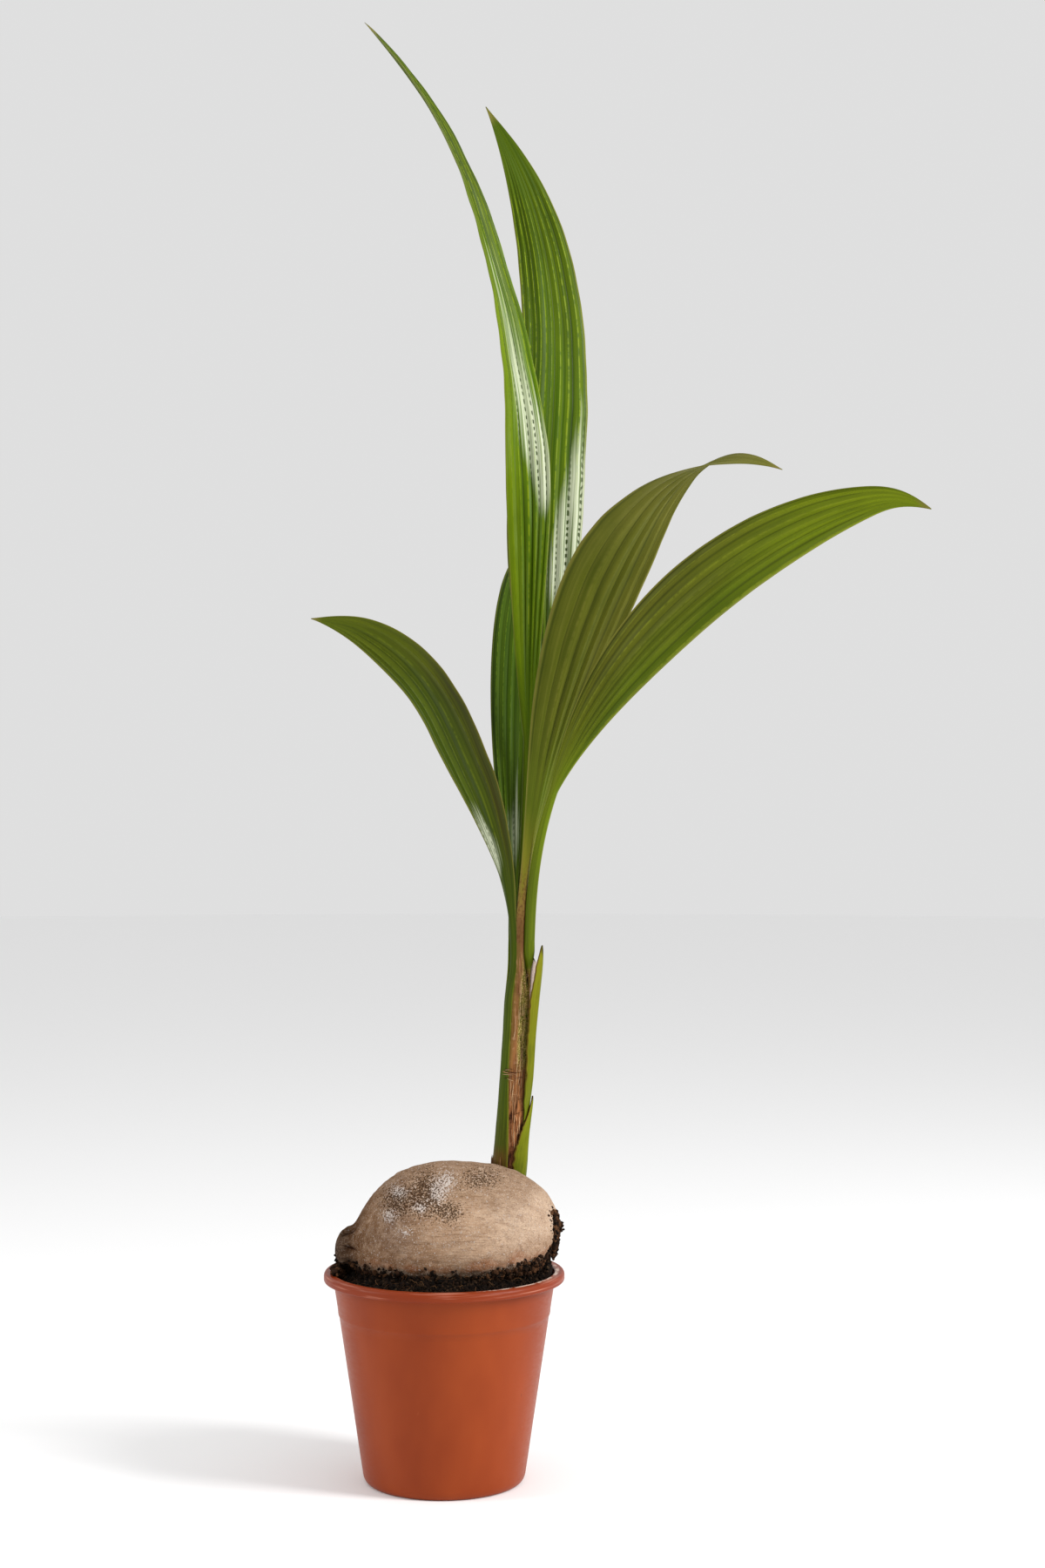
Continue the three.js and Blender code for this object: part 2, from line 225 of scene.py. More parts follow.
def add_piece(name, points, material, nodes=(), tint=None, grain=None, values=None, faces=None,
        soft=True):
    """Makes a mesh piece in metres, smoothly shaded if it is soft. Rows of loops get a closed tube's faces,
    tint colours the points, grain lays lengthwise coordinates on them, and values are named numbers."""
    mesh = bpy.data.meshes.new(name)
    mesh.from_pydata((points.reshape(-1, 3) * MM).tolist(), [], faces or net(*points.shape[:2]))
    mesh.polygons.foreach_set("use_smooth", np.full(len(mesh.polygons), soft))
    if tint is not None:
        colours = np.ones((len(mesh.vertices), 4), np.float32)
        colours[:, :3] = np.clip(tint.reshape(-1, 3), 0, 1)
        mesh.color_attributes.new("tint", "FLOAT_COLOR", "POINT").data.foreach_set("color", colours.ravel())
    if grain is not None:
        corners = np.empty(len(mesh.loops), int)
        mesh.loops.foreach_get("vertex_index", corners)
        laid = grain.astype(np.float32).reshape(-1, 2)[corners] * MM
        mesh.uv_layers.new(name="grain").data.foreach_set("uv", laid.ravel())
    for key, value in (values or {}).items():
        layer = mesh.attributes.new(key, "FLOAT", "POINT")
        layer.data.foreach_set("value", value.astype(np.float32).ravel())
    mesh.update()
    mesh.validate()
    mesh.materials.append(material)
    piece = placed(name, mesh)
    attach(piece, "root")
    if nodes:
        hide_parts(*nodes)
    return piece


def lathe(profile, sides):
    """Rings round the Z axis, one for each radius and height of the profile."""
    turn = np.linspace(0, 2 * np.pi, sides, endpoint=False)
    radius, height = np.asarray(profile, float).T[:, :, None]
    return around(radius, turn, height)


def scattered(shape_points, shape_faces, places, sizes, seed):
    """Copies of a small shape at places, each turned and stretched by a seeded rule, as one mesh."""
    dice = np.random.default_rng(seed)
    count, corners = len(places), len(shape_points)
    frames = np.linalg.qr(dice.normal(size=(count, 3, 3)))[0]
    frames *= np.sign(np.linalg.det(frames))[:, None, None]
    stretch = dice.uniform(0.6, 1.3, (count, 1, 3)) * sizes[:, None, None]
    dents = 1 + dice.uniform(-0.28, 0.28, (count, corners, 1))
    points = np.einsum("nij,nkj->nki", frames, shape_points[None] * stretch * dents) + places[:, None, :]
    return points.reshape(-1, 3), repeated(shape_faces, count, corners)


def ball():
    """An icosahedron's points and faces."""
    g = (1 + 5**0.5) / 2
    points = [(-1, g, 0), (1, g, 0), (-1, -g, 0), (1, -g, 0), (0, -1, g), (0, 1, g)]
    points += [(0, -1, -g), (0, 1, -g), (g, 0, -1), (g, 0, 1), (-g, 0, -1), (-g, 0, 1)]
    faces = [(0, 11, 5), (0, 5, 1), (0, 1, 7), (0, 7, 10), (0, 10, 11), (1, 5, 9), (5, 11, 4)]
    faces += [(11, 10, 2), (10, 7, 6), (7, 1, 8), (3, 9, 4), (3, 4, 2), (3, 2, 6), (3, 6, 8)]
    faces += [(3, 8, 9), (4, 9, 5), (2, 4, 11), (6, 2, 10), (8, 6, 7), (9, 8, 1)]
    return np.array(points, float) / np.hypot(1, g), faces


def strands(paths, radius):
    """Thin tubes that taper to their ends, one along each path of points, as one mesh."""
    paths = np.array(paths)
    count, steps = paths.shape[:2]
    ways = np.gradient(paths, axis=1)
    ways /= np.linalg.norm(ways, axis=2)[..., None]
    side = np.cross(ways, [0.3, 0.5, 0.81])
    side /= np.linalg.norm(side, axis=2)[..., None]
    other = np.cross(ways, side)
    turn = np.linspace(0, 2 * np.pi, STRAND_SIDES, endpoint=False)[:, None]
    ring = side[:, :, None] * np.cos(turn) + other[:, :, None] * np.sin(turn)
    thick = radius * (1 - np.linspace(-0.8, 0.95, steps) ** 2) ** 0.5
    points = paths[:, :, None] + ring * thick[:, None, None]
    return points.reshape(-1, 3), repeated(net(steps, STRAND_SIDES), count, steps * STRAND_SIDES)


# Materials
class Nodes:
    """Short ways to add nodes to a material, whose skin is laid on in layers over a colour or the tint."""

    def __init__(self, name, specular, skin=None):
        self.material = bpy.data.materials.new(name)
        self.material.use_nodes = True
        self.tree = self.material.node_tree
        self.shader = self.tree.nodes["Principled BSDF"].inputs
        self.shader["Specular IOR Level"].default_value = specular
        self.skin = self.value("tint", "Color") if skin is None else linear(skin)

    def put(self, value, socket):
        """Links a socket to another, or sets its number, vector or colour."""
        if isinstance(value, bpy.types.NodeSocket):
            self.tree.links.new(value, socket)
        else:
            socket.default_value = (*value, 1) if socket.type == "RGBA" else value

    def node(self, kind, *values, **inputs):
        """A new node whose inputs are filled in order or by name."""
        made = self.tree.nodes.new("ShaderNode" + kind)
        for value, socket in zip(values, made.inputs):
            self.put(value, socket)
        for key, value in inputs.items():
            self.put(value, made.inputs[key])
        return made

    def math(self, operation, *values):
        """The operation on one or two values, or on more of them one after another."""
        if len(values) > 2:
            values = self.math(operation, *values[:-1]), values[-1]
        made = self.node("Math", *values)
        made.operation = operation
        return made.outputs[0]

    def plus(self, *values):
        return self.math("ADD", *values)

    def times(self, *values):
        return self.math("MULTIPLY", *values)

    def swing(self, noise, factor):
        """How far a noise lies from its middle, times a factor."""
        return self.times(self.math("SUBTRACT", noise, 0.5), factor)

    def place(self, stretch):
        """The object's coordinates, or the grain's for two numbers, times a stretch."""
        if len(stretch) == 3:
            source = self.node("TexCoord").outputs["Object"]
        else:
            laid = self.node("UVMap")
            laid.uv_map = "grain"
            source, stretch = laid.outputs[0], (*stretch, 1)
        return self.node("Mapping", Vector=source, Scale=stretch).outputs[0]

    def noise(self, stretch, scale, detail, roughness=0.6):
        made = self.node("TexNoise", self.place(stretch), Scale=scale, Detail=detail, Roughness=roughness)
        return made.outputs["Fac"]

    def ranged(self, value, low, high, out_low=0, out_high=1):
        return self.node("MapRange", value, low, high, out_low, out_high).outputs[0]

    def value(self, name, output="Fac"):
        made = self.node("Attribute")
        made.attribute_name = name
        return made.outputs[output]

    def blend(self, share, a, b, kind="MIX"):
        made = self.node("Mix", share)
        made.data_type = "RGBA"
        made.blend_type = kind
        self.put(a, made.inputs[6])
        self.put(b, made.inputs[7])
        return made.outputs[2]

    def cover(self, colour, share, kind="MIX"):
        """Lays a colour over the skin."""
        self.skin = self.blend(share, self.skin, linear(colour), kind)

    def lay(self, colour, value, low, high, share, where=None):
        """Lays a colour over the skin up to a share as value goes from low to high, as far as where says."""
        amount = self.ranged(value, low, high, 0, share)
        self.cover(colour, amount if where is None else self.times(where, amount))

    def finished(self, roughness, *bumps):
        """The material with its roughness and bumps, each a height, a strength and a distance in mm."""
        self.put(self.skin, self.shader["Base Color"])
        self.put(roughness, self.shader["Roughness"])
        for height, strength, distance in bumps:
            made = self.node("Bump", Height=height, Strength=strength, Distance=distance * MM)
            for link in self.shader["Normal"].links:
                self.put(link.from_socket, made.inputs["Normal"])
            self.put(made.outputs[0], self.shader["Normal"])
        return self.material


def pot_material():
    """Moulded plastic, redder at its lip, with pale rub marks there that are partly a painted highlight, and
    a painted highlight as a bright broken line on its mouth.
    """
    look = Nodes("moulded_terracotta_plastic", 0.16, "84330e")
    x, y, z = look.node("SeparateXYZ", look.place((1, 1, 1))).outputs
    across = look.math("SQRT", look.plus(look.times(x, x), look.times(y, y)))
    lip_z = POT_HEIGHT - POT_LIP_HEIGHT
    lip = look.ranged(z, (lip_z - 1) * MM, (lip_z + 0.5) * MM)
    cloudy = look.noise((9, 9, 5), 1.6, 3)
    scuffs_and_glint = look.noise((60, 60, 220), 2.2, 6, 0.7)
    rubs_and_highlight = look.noise((11, 11, 420), 1.3, 3, 0.55)
    nicks = look.noise((240, 240, 90), 1.4, 5, 0.7)
    pebbled = look.noise((900, 900, 900), 1, 2)
    look.lay("923d14", cloudy, 0.35, 0.7, 1)
    look.cover("7c2c10", look.times(lip, 0.7))
    # Pale rub marks on the lip, partly a painted highlight
    look.lay("c98872", rubs_and_highlight, 0.54, 0.7, 0.6, lip)
    look.lay("b86a48", nicks, 0.7, 0.73, 0.5)
    look.lay("4a1c0a", nicks, 0.29, 0.27, 0.6)
    # Painted highlight: a bright broken line on the inner edge of the mouth, on its front right
    high = look.ranged(z, (POT_HEIGHT - 1.2) * MM, (POT_HEIGHT - 0.4) * MM)
    inner = look.ranged(across, (POT_LIP_RADIUS - 4) * MM, (POT_LIP_RADIUS - 5.2) * MM)
    glint_front_right = look.ranged(look.math("SUBTRACT", x, look.times(y, 0.5)), 0.07, 0.09, 0, 0.9)
    look.lay("e2c8b8", scuffs_and_glint, 0.44, 0.54, 1, look.times(high, inner, glint_front_right))
    shine = look.ranged(scuffs_and_glint, 0.3, 0.75, 0.32, 0.48)
    return look.finished(shine, (cloudy, 0.25, 0.6), (scuffs_and_glint, 0.12, 0.1), (pebbled, 0.08, 0.05))


def soil_material():
    look = Nodes("damp_potting_mix", 0.08, "0d0704")
    lumps = look.noise((160, 160, 160), 1.5, 8, 0.75)
    grit = look.noise((700, 700, 700), 1.4, 3, 0.7)
    look.lay("22150c", lumps, 0.35, 0.7, 1)
    look.lay("3e2c1c", grit, 0.63, 0.72, 0.5)
    return look.finished(look.ranged(grit, 0.3, 0.8, 0.75, 1), (lumps, 0.9, 2.2), (grit, 0.8, 0.7))


def crumb_material(name):
    look = Nodes(name, 0.1)
    grit = look.noise((600, 600, 600), 1.3, 4, 0.7)
    look.skin = look.blend(look.ranged(grit, 0.3, 0.7, 0.55, 1), (0, 0, 0), look.skin)
    return look.finished(0.95, (grit, 0.7, 0.5))


def husk_material():
    """Weathered husk skin: broad stains, mottle, fine lengthwise fibres, freckles, dark pits and mould."""
    look = Nodes("weathered_husk_skin", 0.05)
    stains = look.noise((22, 34, 34), 1.2, 4)
    mottle = look.noise((75, 120, 120), 1.4, 6, 0.75)
    fibres = look.noise((34, 760, 760), 1.5, 4, 0.65)
    wrinkles = look.noise((20, 210, 210), 1.4, 4)
    patches = look.noise((270, 300, 300), 1.3, 5, 0.75)
    grains = look.noise((760, 760, 760), 1.3, 3, 0.8)
    specks = look.swing(look.noise((560, 560, 560), 1.3, 2), 3)
    look.lay("84664c", stains, 0.4, 0.66, 0.4)
    look.lay("cdb298", mottle, 0.44, 0.68, 0.42)
    look.lay("6a4e38", patches, 0.5, 0.68, 0.4)
    look.lay("6e4e34", wrinkles, 0.55, 0.68, 0.4)
    look.lay("5c4028", fibres, 0.53, 0.66, 0.45)
    look.lay("4a3424", grains, 0.55, 0.66, 0.45)
    look.lay("e4d2c0", grains, 0.43, 0.32, 0.35)
    look.lay("2c1b0d", look.plus(look.times(look.value("pits"), 0.8), specks), 0.62, 0.78, 0.85)
    grown = look.plus(look.value("mould"), look.swing(patches, 1.6), look.times(specks, -1.6))
    mouldy = look.ranged(grown, 0.5, 1.3, 0, 0.8)
    look.cover("c9bfb8", mouldy)
    # Painted shade in the nose's creases, and darker towards the nose's end
    look.cover("5c3c22", look.value("shade"), "MULTIPLY")
    bumps = ((wrinkles, 0.5, 1.2), (patches, 0.4, 0.8), (fibres, 0.5, 0.6), (grains, 0.35, 0.35))
    return look.finished(look.ranged(mottle, 0.3, 0.7, 0.78, 0.95), *bumps, (mouldy, 0.5, 0.5))


def sheath_material(name, roughness, streak):
    """A green leaf base: fine lengthwise veins over the piece's own tints."""
    look = Nodes(name, 0.06)
    veins = look.noise((900, 12), 1.2, 3)
    patches = look.noise((90, 22), 1.2, 5, 0.65)
    grains = look.noise((1000, 560), 1.3, 4, 0.7)
    look.lay(streak, veins, 0.4, 0.7, 0.4)
    look.lay("2c3408", patches, 0.5, 0.75, 0.5)
    look.lay("a87c4c", grains, 0.44, 0.56, 0.9, look.value("specks"))
    dull = look.ranged(patches, 0.3, 0.8, roughness - 0.08, roughness + 0.14)
    return look.finished(dull, (veins, 0.35, 0.3), (patches, 0.2, 0.4))


def fibre_material():
    look = Nodes("dry_sheath_fibre", 0.1)
    threads = look.noise((1400, 26), 1.3, 4, 0.7)
    mottle = look.noise((260, 130), 1.3, 6, 0.75)
    grains = look.noise((900, 600), 1.3, 4, 0.7)
    torn = look.noise((420, 34), 1.3, 5, 0.7)
    specks = look.value("specks")
    look.lay("5a3620", threads, 0.42, 0.66, 0.55)
    look.lay("cc9c74", mottle, 0.55, 0.7, 0.6)
    look.lay("d4bc78", grains, 0.5, 0.56, 0.9, specks)
    look.lay("465410", mottle, 0.47, 0.41, 0.9, specks)
    cracks = look.times(look.value("cracks"), look.ranged(torn, 0.53, 0.57))
    look.cover("2a120a", cracks)
    return look.finished(0.88, (threads, 0.8, 0.7), (mottle, 0.6, 0.6), (cracks, -0.6, 1.2))


# Linear colours of the painted shade on a blade's facets and in its grooves, and of its darker bands and
# clouds
FACET_SHADE = (0.012, 0.03, 0.001)
GROOVE_SHADE = (0.008, 0.016, 0.001)
CLOUD_SHADE = (0.015, 0.035, 0.001)


def blade_material(name, stripe, ridge_highlight_share, facet_light_and_shade, roughness):
    """A pleated blade: its tint holds the zones, and a painted highlight on the ridges, painted light and
    shade on the facets, painted shade in the grooves, fine veins and a painted sheen lie over them.
    """
    look = Nodes(name, 0.07)
    side, length = look.node("SeparateXYZ", look.place((1, 1))).outputs[:2]
    turn = look.times(side, np.pi / (BLADE_GRAIN * MM))
    ridge = look.times(look.math("SINE", turn), look.value("pleats"))
    facing = look.times(look.math("COSINE", turn), look.value("pleats"))
    fine = look.math("SINE", look.times(turn, VEINS_A_PLEAT))
    streaks = look.noise((700, 5), 1.1, 3)
    bands = look.noise((95, 1.3), 1.1, 3)
    clouds = look.noise((60, 14), 1.1, 4)
    dashes = look.noise((90, 110), 1.1, 2)
    grains = look.noise((560, 560, 300), 1.3, 3, 0.7)
    depth, painted_sheen = look.value("depth"), look.value("painted_sheen")
    look.lay(stripe, streaks, 0.4, 0.7, 0.3)
    # Pale and dark lengthwise bands, partly painted light and shade on the facets
    look.lay(stripe, bands, 0.53, 0.7, facet_light_and_shade)
    look.lay(FACET_SHADE, bands, 0.46, 0.32, facet_light_and_shade + 0.25)
    # Painted shade on one facet of each pleat
    look.lay(FACET_SHADE, facing, -0.3, 0.3, facet_light_and_shade, depth)
    # Painted highlight: broken pale lines along the ridges
    ridge_highlight_dashes = look.times(look.ranged(dashes, 0.42, 0.52, 0.1, 1), depth)
    look.lay(stripe, ridge, 0.86, 0.98, ridge_highlight_share, ridge_highlight_dashes)
    # Painted shade in the grooves
    look.cover(GROOVE_SHADE, look.times(look.ranged(ridge, -0.99, -0.86, 0.45, 0), depth))
    look.lay(CLOUD_SHADE, clouds, 0.45, 0.8, 0.35)
    # Painted sheen: pale gloss broken into streaks, with dark rows of beads in the grooves inside it
    lines = look.plus(1, look.swing(streaks, 5))
    look.lay("b8bea2", look.times(painted_sheen, lines, look.ranged(bands, 0.38, 0.56, 0.65, 1)), 0.2, 1, 1)
    evenly = look.times(length, 2 * np.pi / (BEAD_PITCH * MM))
    beads = look.math("SINE", look.plus(evenly, look.times(clouds, 30)))
    rows = look.times(look.ranged(ridge, -0.98, -0.6, 1, 0), look.ranged(beads, -0.4, 0.3))
    look.cover("2c3c0c", look.times(rows, painted_sheen))
    look.lay("5c3a1c", grains, 0.5, 0.58, 0.8, look.value("specks"))
    dull = look.ranged(clouds, 0.3, 0.75, roughness - 0.06, roughness + 0.1)
    return look.finished(dull, (fine, 0.15, 0.12), (streaks, 0.25, 0.25))


# Pot
def pot_radius(z):
    return POT_TOP_RADIUS - POT_DRAFT * (POT_HEIGHT - z) - (POT_SHOULDER_STEP if z < POT_SHOULDER_Z else 0)


def pot_profile():
    """Radius and height from the underside's middle up the outside, over the lip and down the inside."""
    lip, lip_z, top, under_z = POT_LIP_RADIUS, POT_HEIGHT - POT_LIP_HEIGHT, POT_HEIGHT, POT_SHOULDER_Z - 5
    heel, neck, shoulder = (pot_radius(z) for z in (POT_FOOT_CORNER, lip_z, POT_SHOULDER_Z))
    mouth, inner_heel = pot_radius(top) - POT_WALL, heel - POT_WALL
    line = [[POT_MIDDLE, 0]]
    # Each stretch has its end, its steps and, where it is round, the corner that it is drawn towards
    for end, steps, *towards in (
        ((POT_FOOT_RADIUS, 0), 8),
        ((heel, POT_FOOT_CORNER), 9, (heel - 1, 0.2)),
        ((pot_radius(under_z), under_z), 24),
        ((shoulder, POT_SHOULDER_Z), 4, (shoulder, under_z)),
        ((neck, lip_z - 1), 8),
        ((neck + 1.4, lip_z), 4, (neck, lip_z)),
        ((lip - 1.6, lip_z), 2),
        ((lip, lip_z + 1.6), 6, (lip, lip_z)),
        ((lip, lip_z + 3.6), 2),
        ((lip - 3.4, top), 8, (lip, top)),
        ((mouth + POT_LIP_ROUND, top), 2),
        ((mouth, top - POT_LIP_ROUND), 6, (mouth, top)),
        ((inner_heel, POT_FOOT_CORNER), 12),
        ((POT_FOOT_RADIUS - POT_WALL, POT_WALL), 6, (inner_heel - 1, POT_WALL)),
        ((POT_MIDDLE, POT_WALL), 2),
    ):
        a, b, share = np.array(line[-1]), np.array(end), np.linspace(0, 1, steps)[1:, None]
        if towards:
            line += ((1 - share) ** 2 * a + 2 * share * (1 - share) * towards[0] + share**2 * b).tolist()
        else:
            line += lerp(a, b, share).tolist()
    return line


def without_holes(piece, points, faces):
    """Cuts holes, a mesh of closed tubes, out of piece."""
    cutter = placed("cutter", bpy.data.meshes.new("cutter"))
    cutter.data.from_pydata((points * MM).tolist(), [], faces)
    modifier = piece.modifiers.new("drains", "BOOLEAN")
    modifier.operation = "DIFFERENCE"
    modifier.solver = "EXACT"
    modifier.object = cutter
    drawn = piece.evaluated_get(bpy.context.evaluated_depsgraph_get())
    cut = bpy.data.meshes.new_from_object(drawn)
    piece.modifiers.clear()
    piece.data = cut
    bpy.data.objects.remove(cutter)


def make_pot():
    pot = add_piece("nursery_pot", lathe(pot_profile(), POT_SIDES), pot_material(), ["pot"])
    tube = lathe([[DRAIN_RADIUS, -4], [DRAIN_RADIUS, 4]], DRAIN_SIDES).reshape(-1, 3)
    turn = (np.arange(DRAIN_COUNT) + 0.5) / DRAIN_COUNT * 2 * np.pi
    points = (tube + around(DRAIN_CIRCLE, turn, 0)[:, None]).reshape(-1, 3)
    without_holes(pot, points, repeated(net(2, DRAIN_SIDES), DRAIN_COUNT, len(tube)))


# Nut
def rounded(share, curve):
    """A superellipse that falls from 1 to 0 as share goes from 0 to 1."""
    fullness, roundness = curve
    return (1 - np.clip(share, 0, 1) ** fullness) ** roundness


def nut_radius(x):
    """The husk's radius along its axis: two rounded halves, and a nose with a blunt end."""
    right = NUT_RADIUS * rounded(x / NUT_RIGHT, NUT_RIGHT_CURVE)
    left = NUT_RADIUS * rounded(-x / NUT_LEFT, NUT_LEFT_CURVE)
    nose_end = (-x - NUT_LEFT + 4) / (NUT_NOSE_END - NUT_LEFT + 4)
    nose = NUT_NOSE_RADIUS * rounded(nose_end, (2.4, 0.5)) * smooth(-55, -75, x)
    blended = np.logaddexp(left * NUT_NECK, nose * NUT_NECK) / NUT_NECK
    return np.where(x > 0, right, np.where(nose > 0, np.minimum(blended, left + nose), left))


def nut_lift(x):
    """How far the husk's axis rises to its right end and drops to its nose."""
    return np.where(x > 0, NUT_RIGHT_RISE * (x / NUT_RIGHT) ** 2, -NUT_NOSE_DROP * (x / NUT_NOSE_END) ** 2)


def nut_point(x, angle, radius):
    """Where the husk's skin lies at a place along the nut and an angle round it."""
    y, z = radius * np.cos(angle), radius * np.sin(angle)
    ridge = 1 + NUT_RIDGE_SHARE * np.cos(3 * np.arctan2(y, z))
    return stacked(x, y * ridge, z * ridge + nut_lift(x)) + NUT_MIDDLE


MOULD_SPOTS = [(3, 252, 8, 8), (-5, 244, 7, 9), (-36, 244, 8, 5), (-44, 225, 6, 6), (-30, 214, 5, 4),
    (-18, 233, 6, 5)]
PIT_SPOTS = [(30, 254, 22, 10), (-15, 246, 15, 20), (-40, 236, 16, 14), (6, 230, 14, 10)]
# Folds of the nose, each from one place along the nut to another and from one angle round it to another
NOSE_CREASES = ((-100, -80, 112, 128), (-102, -80, 150, 186), (-101, -78, 40, 30), (-100, -82, -30, -48))
CREASE_DEPTH = 1.7
CREASE_WIDTH = 1.1
# Colours at places along the nut
NUT_TINTS = ((-92, "22150c"), (-82, "402814"), (-68, "624020"), (-42, "765538"), (0, "a4856a"),
    (25, "b29479"), (70, "bca38c"))


def spots(points, places):
    """How far points lie in soft spots given by x, z, width and height, turned about on the far face."""
    x, z = points[..., 0], points[..., 2]
    x = np.where(points[..., 1] > 0, 2 * NUT_MIDDLE[0] - x, x)
    return np.clip(sum(hill((x - sx) / width, (z - sz) / height) for sx, sz, width, height in places), 0, 1)


def nose_creases(x, angle, radius):
    """How deep each point lies in one of the nose's folds, from 0 to 1."""
    deep = np.zeros(np.broadcast(x, angle).shape)
    for start, end, first, last in NOSE_CREASES:
        share = (x - start) / (end - start)
        off = (np.degrees(angle) - lerp(first, last, share) + 180) % 360 - 180
        inside = smooth(0, 0.3, share) * smooth(1, 0.6, share)
        deep = np.maximum(deep, inside * hill(np.radians(off) * radius / CREASE_WIDTH))
    return deep


def nut_tint(points):
    """Darker at the nose, greyer at the upper left, pale at the right end and stained near the soil."""
    x, z = points[..., 0], points[..., 2]
    wander = ripples(points, 20, 5)
    above = z - soil_line(x) + 3 * wander
    stained = smooth(9, 3, above + 4 * ripples(points, 12, 6)) * smooth(-80, -50, x)
    return layered(keyed(x + 9 * wander, NUT_TINTS),
        ("7c6048", smooth(226, 256, z + 9 * wander) * 0.75),
        ("6a564c", hill((x + 38) / 18, (z - 218) / 28) * 0.55),
        ("7e5c40", smooth(20, 6, above) * smooth(-75, -30, x) * 0.6),
        ("884a22", stained * 0.55),
        ("1e120a", smooth(3.5, -2, above + 3 * ripples(points, 6, 7))))


def husk_skin(x, angle, lift=0.0):
    """Points of the husk's skin with its relief, raised by lift, and how deep they lie in furrows."""
    radius = np.maximum(nut_radius(x), 0.4)
    plain = nut_point(x, angle, radius)
    stretched = plain * [0.16, 1, 1]
    relief = 0.9 * ripples(plain, 26, 1) + 0.35 * ripples(stretched, 3.2, 2)
    relief = relief + 0.25 * ripples(stretched, 1.4, 3)
    furrows = smooth(-58, -95, x) * (1.3 * np.cos(7 * angle + 0.5) + 0.8 * np.cos(13 * angle + 1) - 0.8)
    folded = nose_creases(x, angle, radius)
    raised = (relief - 0.6 + furrows - CREASE_DEPTH * folded) * smooth(0, 14, radius) + lift
    return nut_point(x, angle, radius + raised), np.clip(folded + 0.5 * smooth(-1.2, -2.8, furrows), 0, 1)


def make_nut():
    right = NUT_RIGHT * np.sin(np.linspace(0, np.pi / 2, 90))
    left = -NUT_LEFT * np.sin(np.linspace(np.pi / 2, 0, 90))[:-1]
    nose = -lerp(NUT_NOSE_END, NUT_LEFT, np.linspace(0, 1, 22)[:-1] ** 1.6)
    x = np.concatenate([nose, left, right])[:, None]
    points, creased = husk_skin(x, np.linspace(0, 2 * np.pi, NUT_SIDES, endpoint=False)[None, :])
    values = {
        "mould": spots(points, MOULD_SPOTS),
        "pits": spots(points, PIT_SPOTS),
        # Painted shade in the nose's creases, and darker towards the nose's end
        "shade": np.maximum(smooth(-60, -100, x + 6 * ripples(points, 15, 8)) * 0.6, 0.9 * creased),
    }
    add_piece("husked_nut", points, husk_material(), ["nut"], nut_tint(points), values=values)


# Soil
def soil_top(x, y):
    share = np.minimum(np.hypot(x, y) / POT_TOP_RADIUS, 1)
    dome = SOIL_EDGE_Z + (SOIL_CROWN_Z - SOIL_EDGE_Z) * (1 - share**2)
    waves = np.sin(2 * np.pi * x / SOIL_CLODS["pitch_x"]) * np.cos(2 * np.pi * y / SOIL_CLODS["pitch_y"])
    away = np.hypot(x - SOIL_HEAP["x"], y - SOIL_HEAP["y"]) / SOIL_HEAP["spread"]
    return dome + SOIL_CLODS["height"] * waves * (1 - share**4) + SOIL_HEAP["height"] * hill(away)


def in_nut(x, y, z, grow=0.0):
    """True where a point lies inside the nut's skin, grown by some mm."""
    x, y, z = x - NUT_MIDDLE[0], y - NUT_MIDDLE[1], z - NUT_MIDDLE[2]
    radius = nut_radius(np.clip(x, -NUT_NOSE_END, NUT_RIGHT))
    inside = (x > -NUT_NOSE_END - grow) & (x < NUT_RIGHT + grow)
    return inside & (np.hypot(y, z - nut_lift(x)) < radius + grow)


def make_soil():
    clear = POT_WALL + GAP
    edge = pot_radius(SOIL_EDGE_Z) - clear - POT_SHOULDER_STEP
    wall = [[0.3, clear], [POT_FOOT_RADIUS - clear, clear]]
    wall += [[pot_radius(POT_FOOT_CORNER) - clear, POT_FOOT_CORNER], [edge, SOIL_EDGE_Z - 3]]
    rings = [[edge * ring / SOIL_TOP_RINGS + 0.2, SOIL_EDGE_Z] for ring in range(SOIL_TOP_RINGS, -1, -1)]
    points = lathe(wall + rings, SOIL_SIDES)
    top = points[len(wall):]
    x, y = top[..., 0], top[..., 1]
    rough = 1.3 * ripples(top, 5, 11) + 0.8 * ripples(top, 2.2, 12)
    top[..., 2] = soil_top(x, y) + rough - 0.8
    top[..., 2] -= 2.5 * smooth(edge - 4, edge, np.hypot(x, y))
    add_piece("potting_soil", points, soil_material(), ["soil"])


CRUMB_TINTS = ("0e0804", "150d08", "1c120b", "0a0604", "120a06", "24170d", "3a2a1b")
HEAP_TINTS = ("180f09", "24170e", "332014", "100905", "452d1c", "5c3e28")


def soil_line(x):
    return np.interp(x, *zip(*SOIL_LINE))


def crumb_places():
    """Crumbs that lie on the soil."""
    radius = (POT_TOP_RADIUS - 4.5) * rng.uniform(0, 1, 2 * CRUMB_COUNT) ** 0.5
    angle = rng.uniform(0, 2 * np.pi, len(radius))
    x, y = radius * np.cos(angle), radius * np.sin(angle)
    z = soil_top(x, y) - 0.6 + rng.uniform(0, 1.2, len(radius))
    return np.column_stack([x, y, z])[~in_nut(x, y, z, -1.5)][:CRUMB_COUNT]


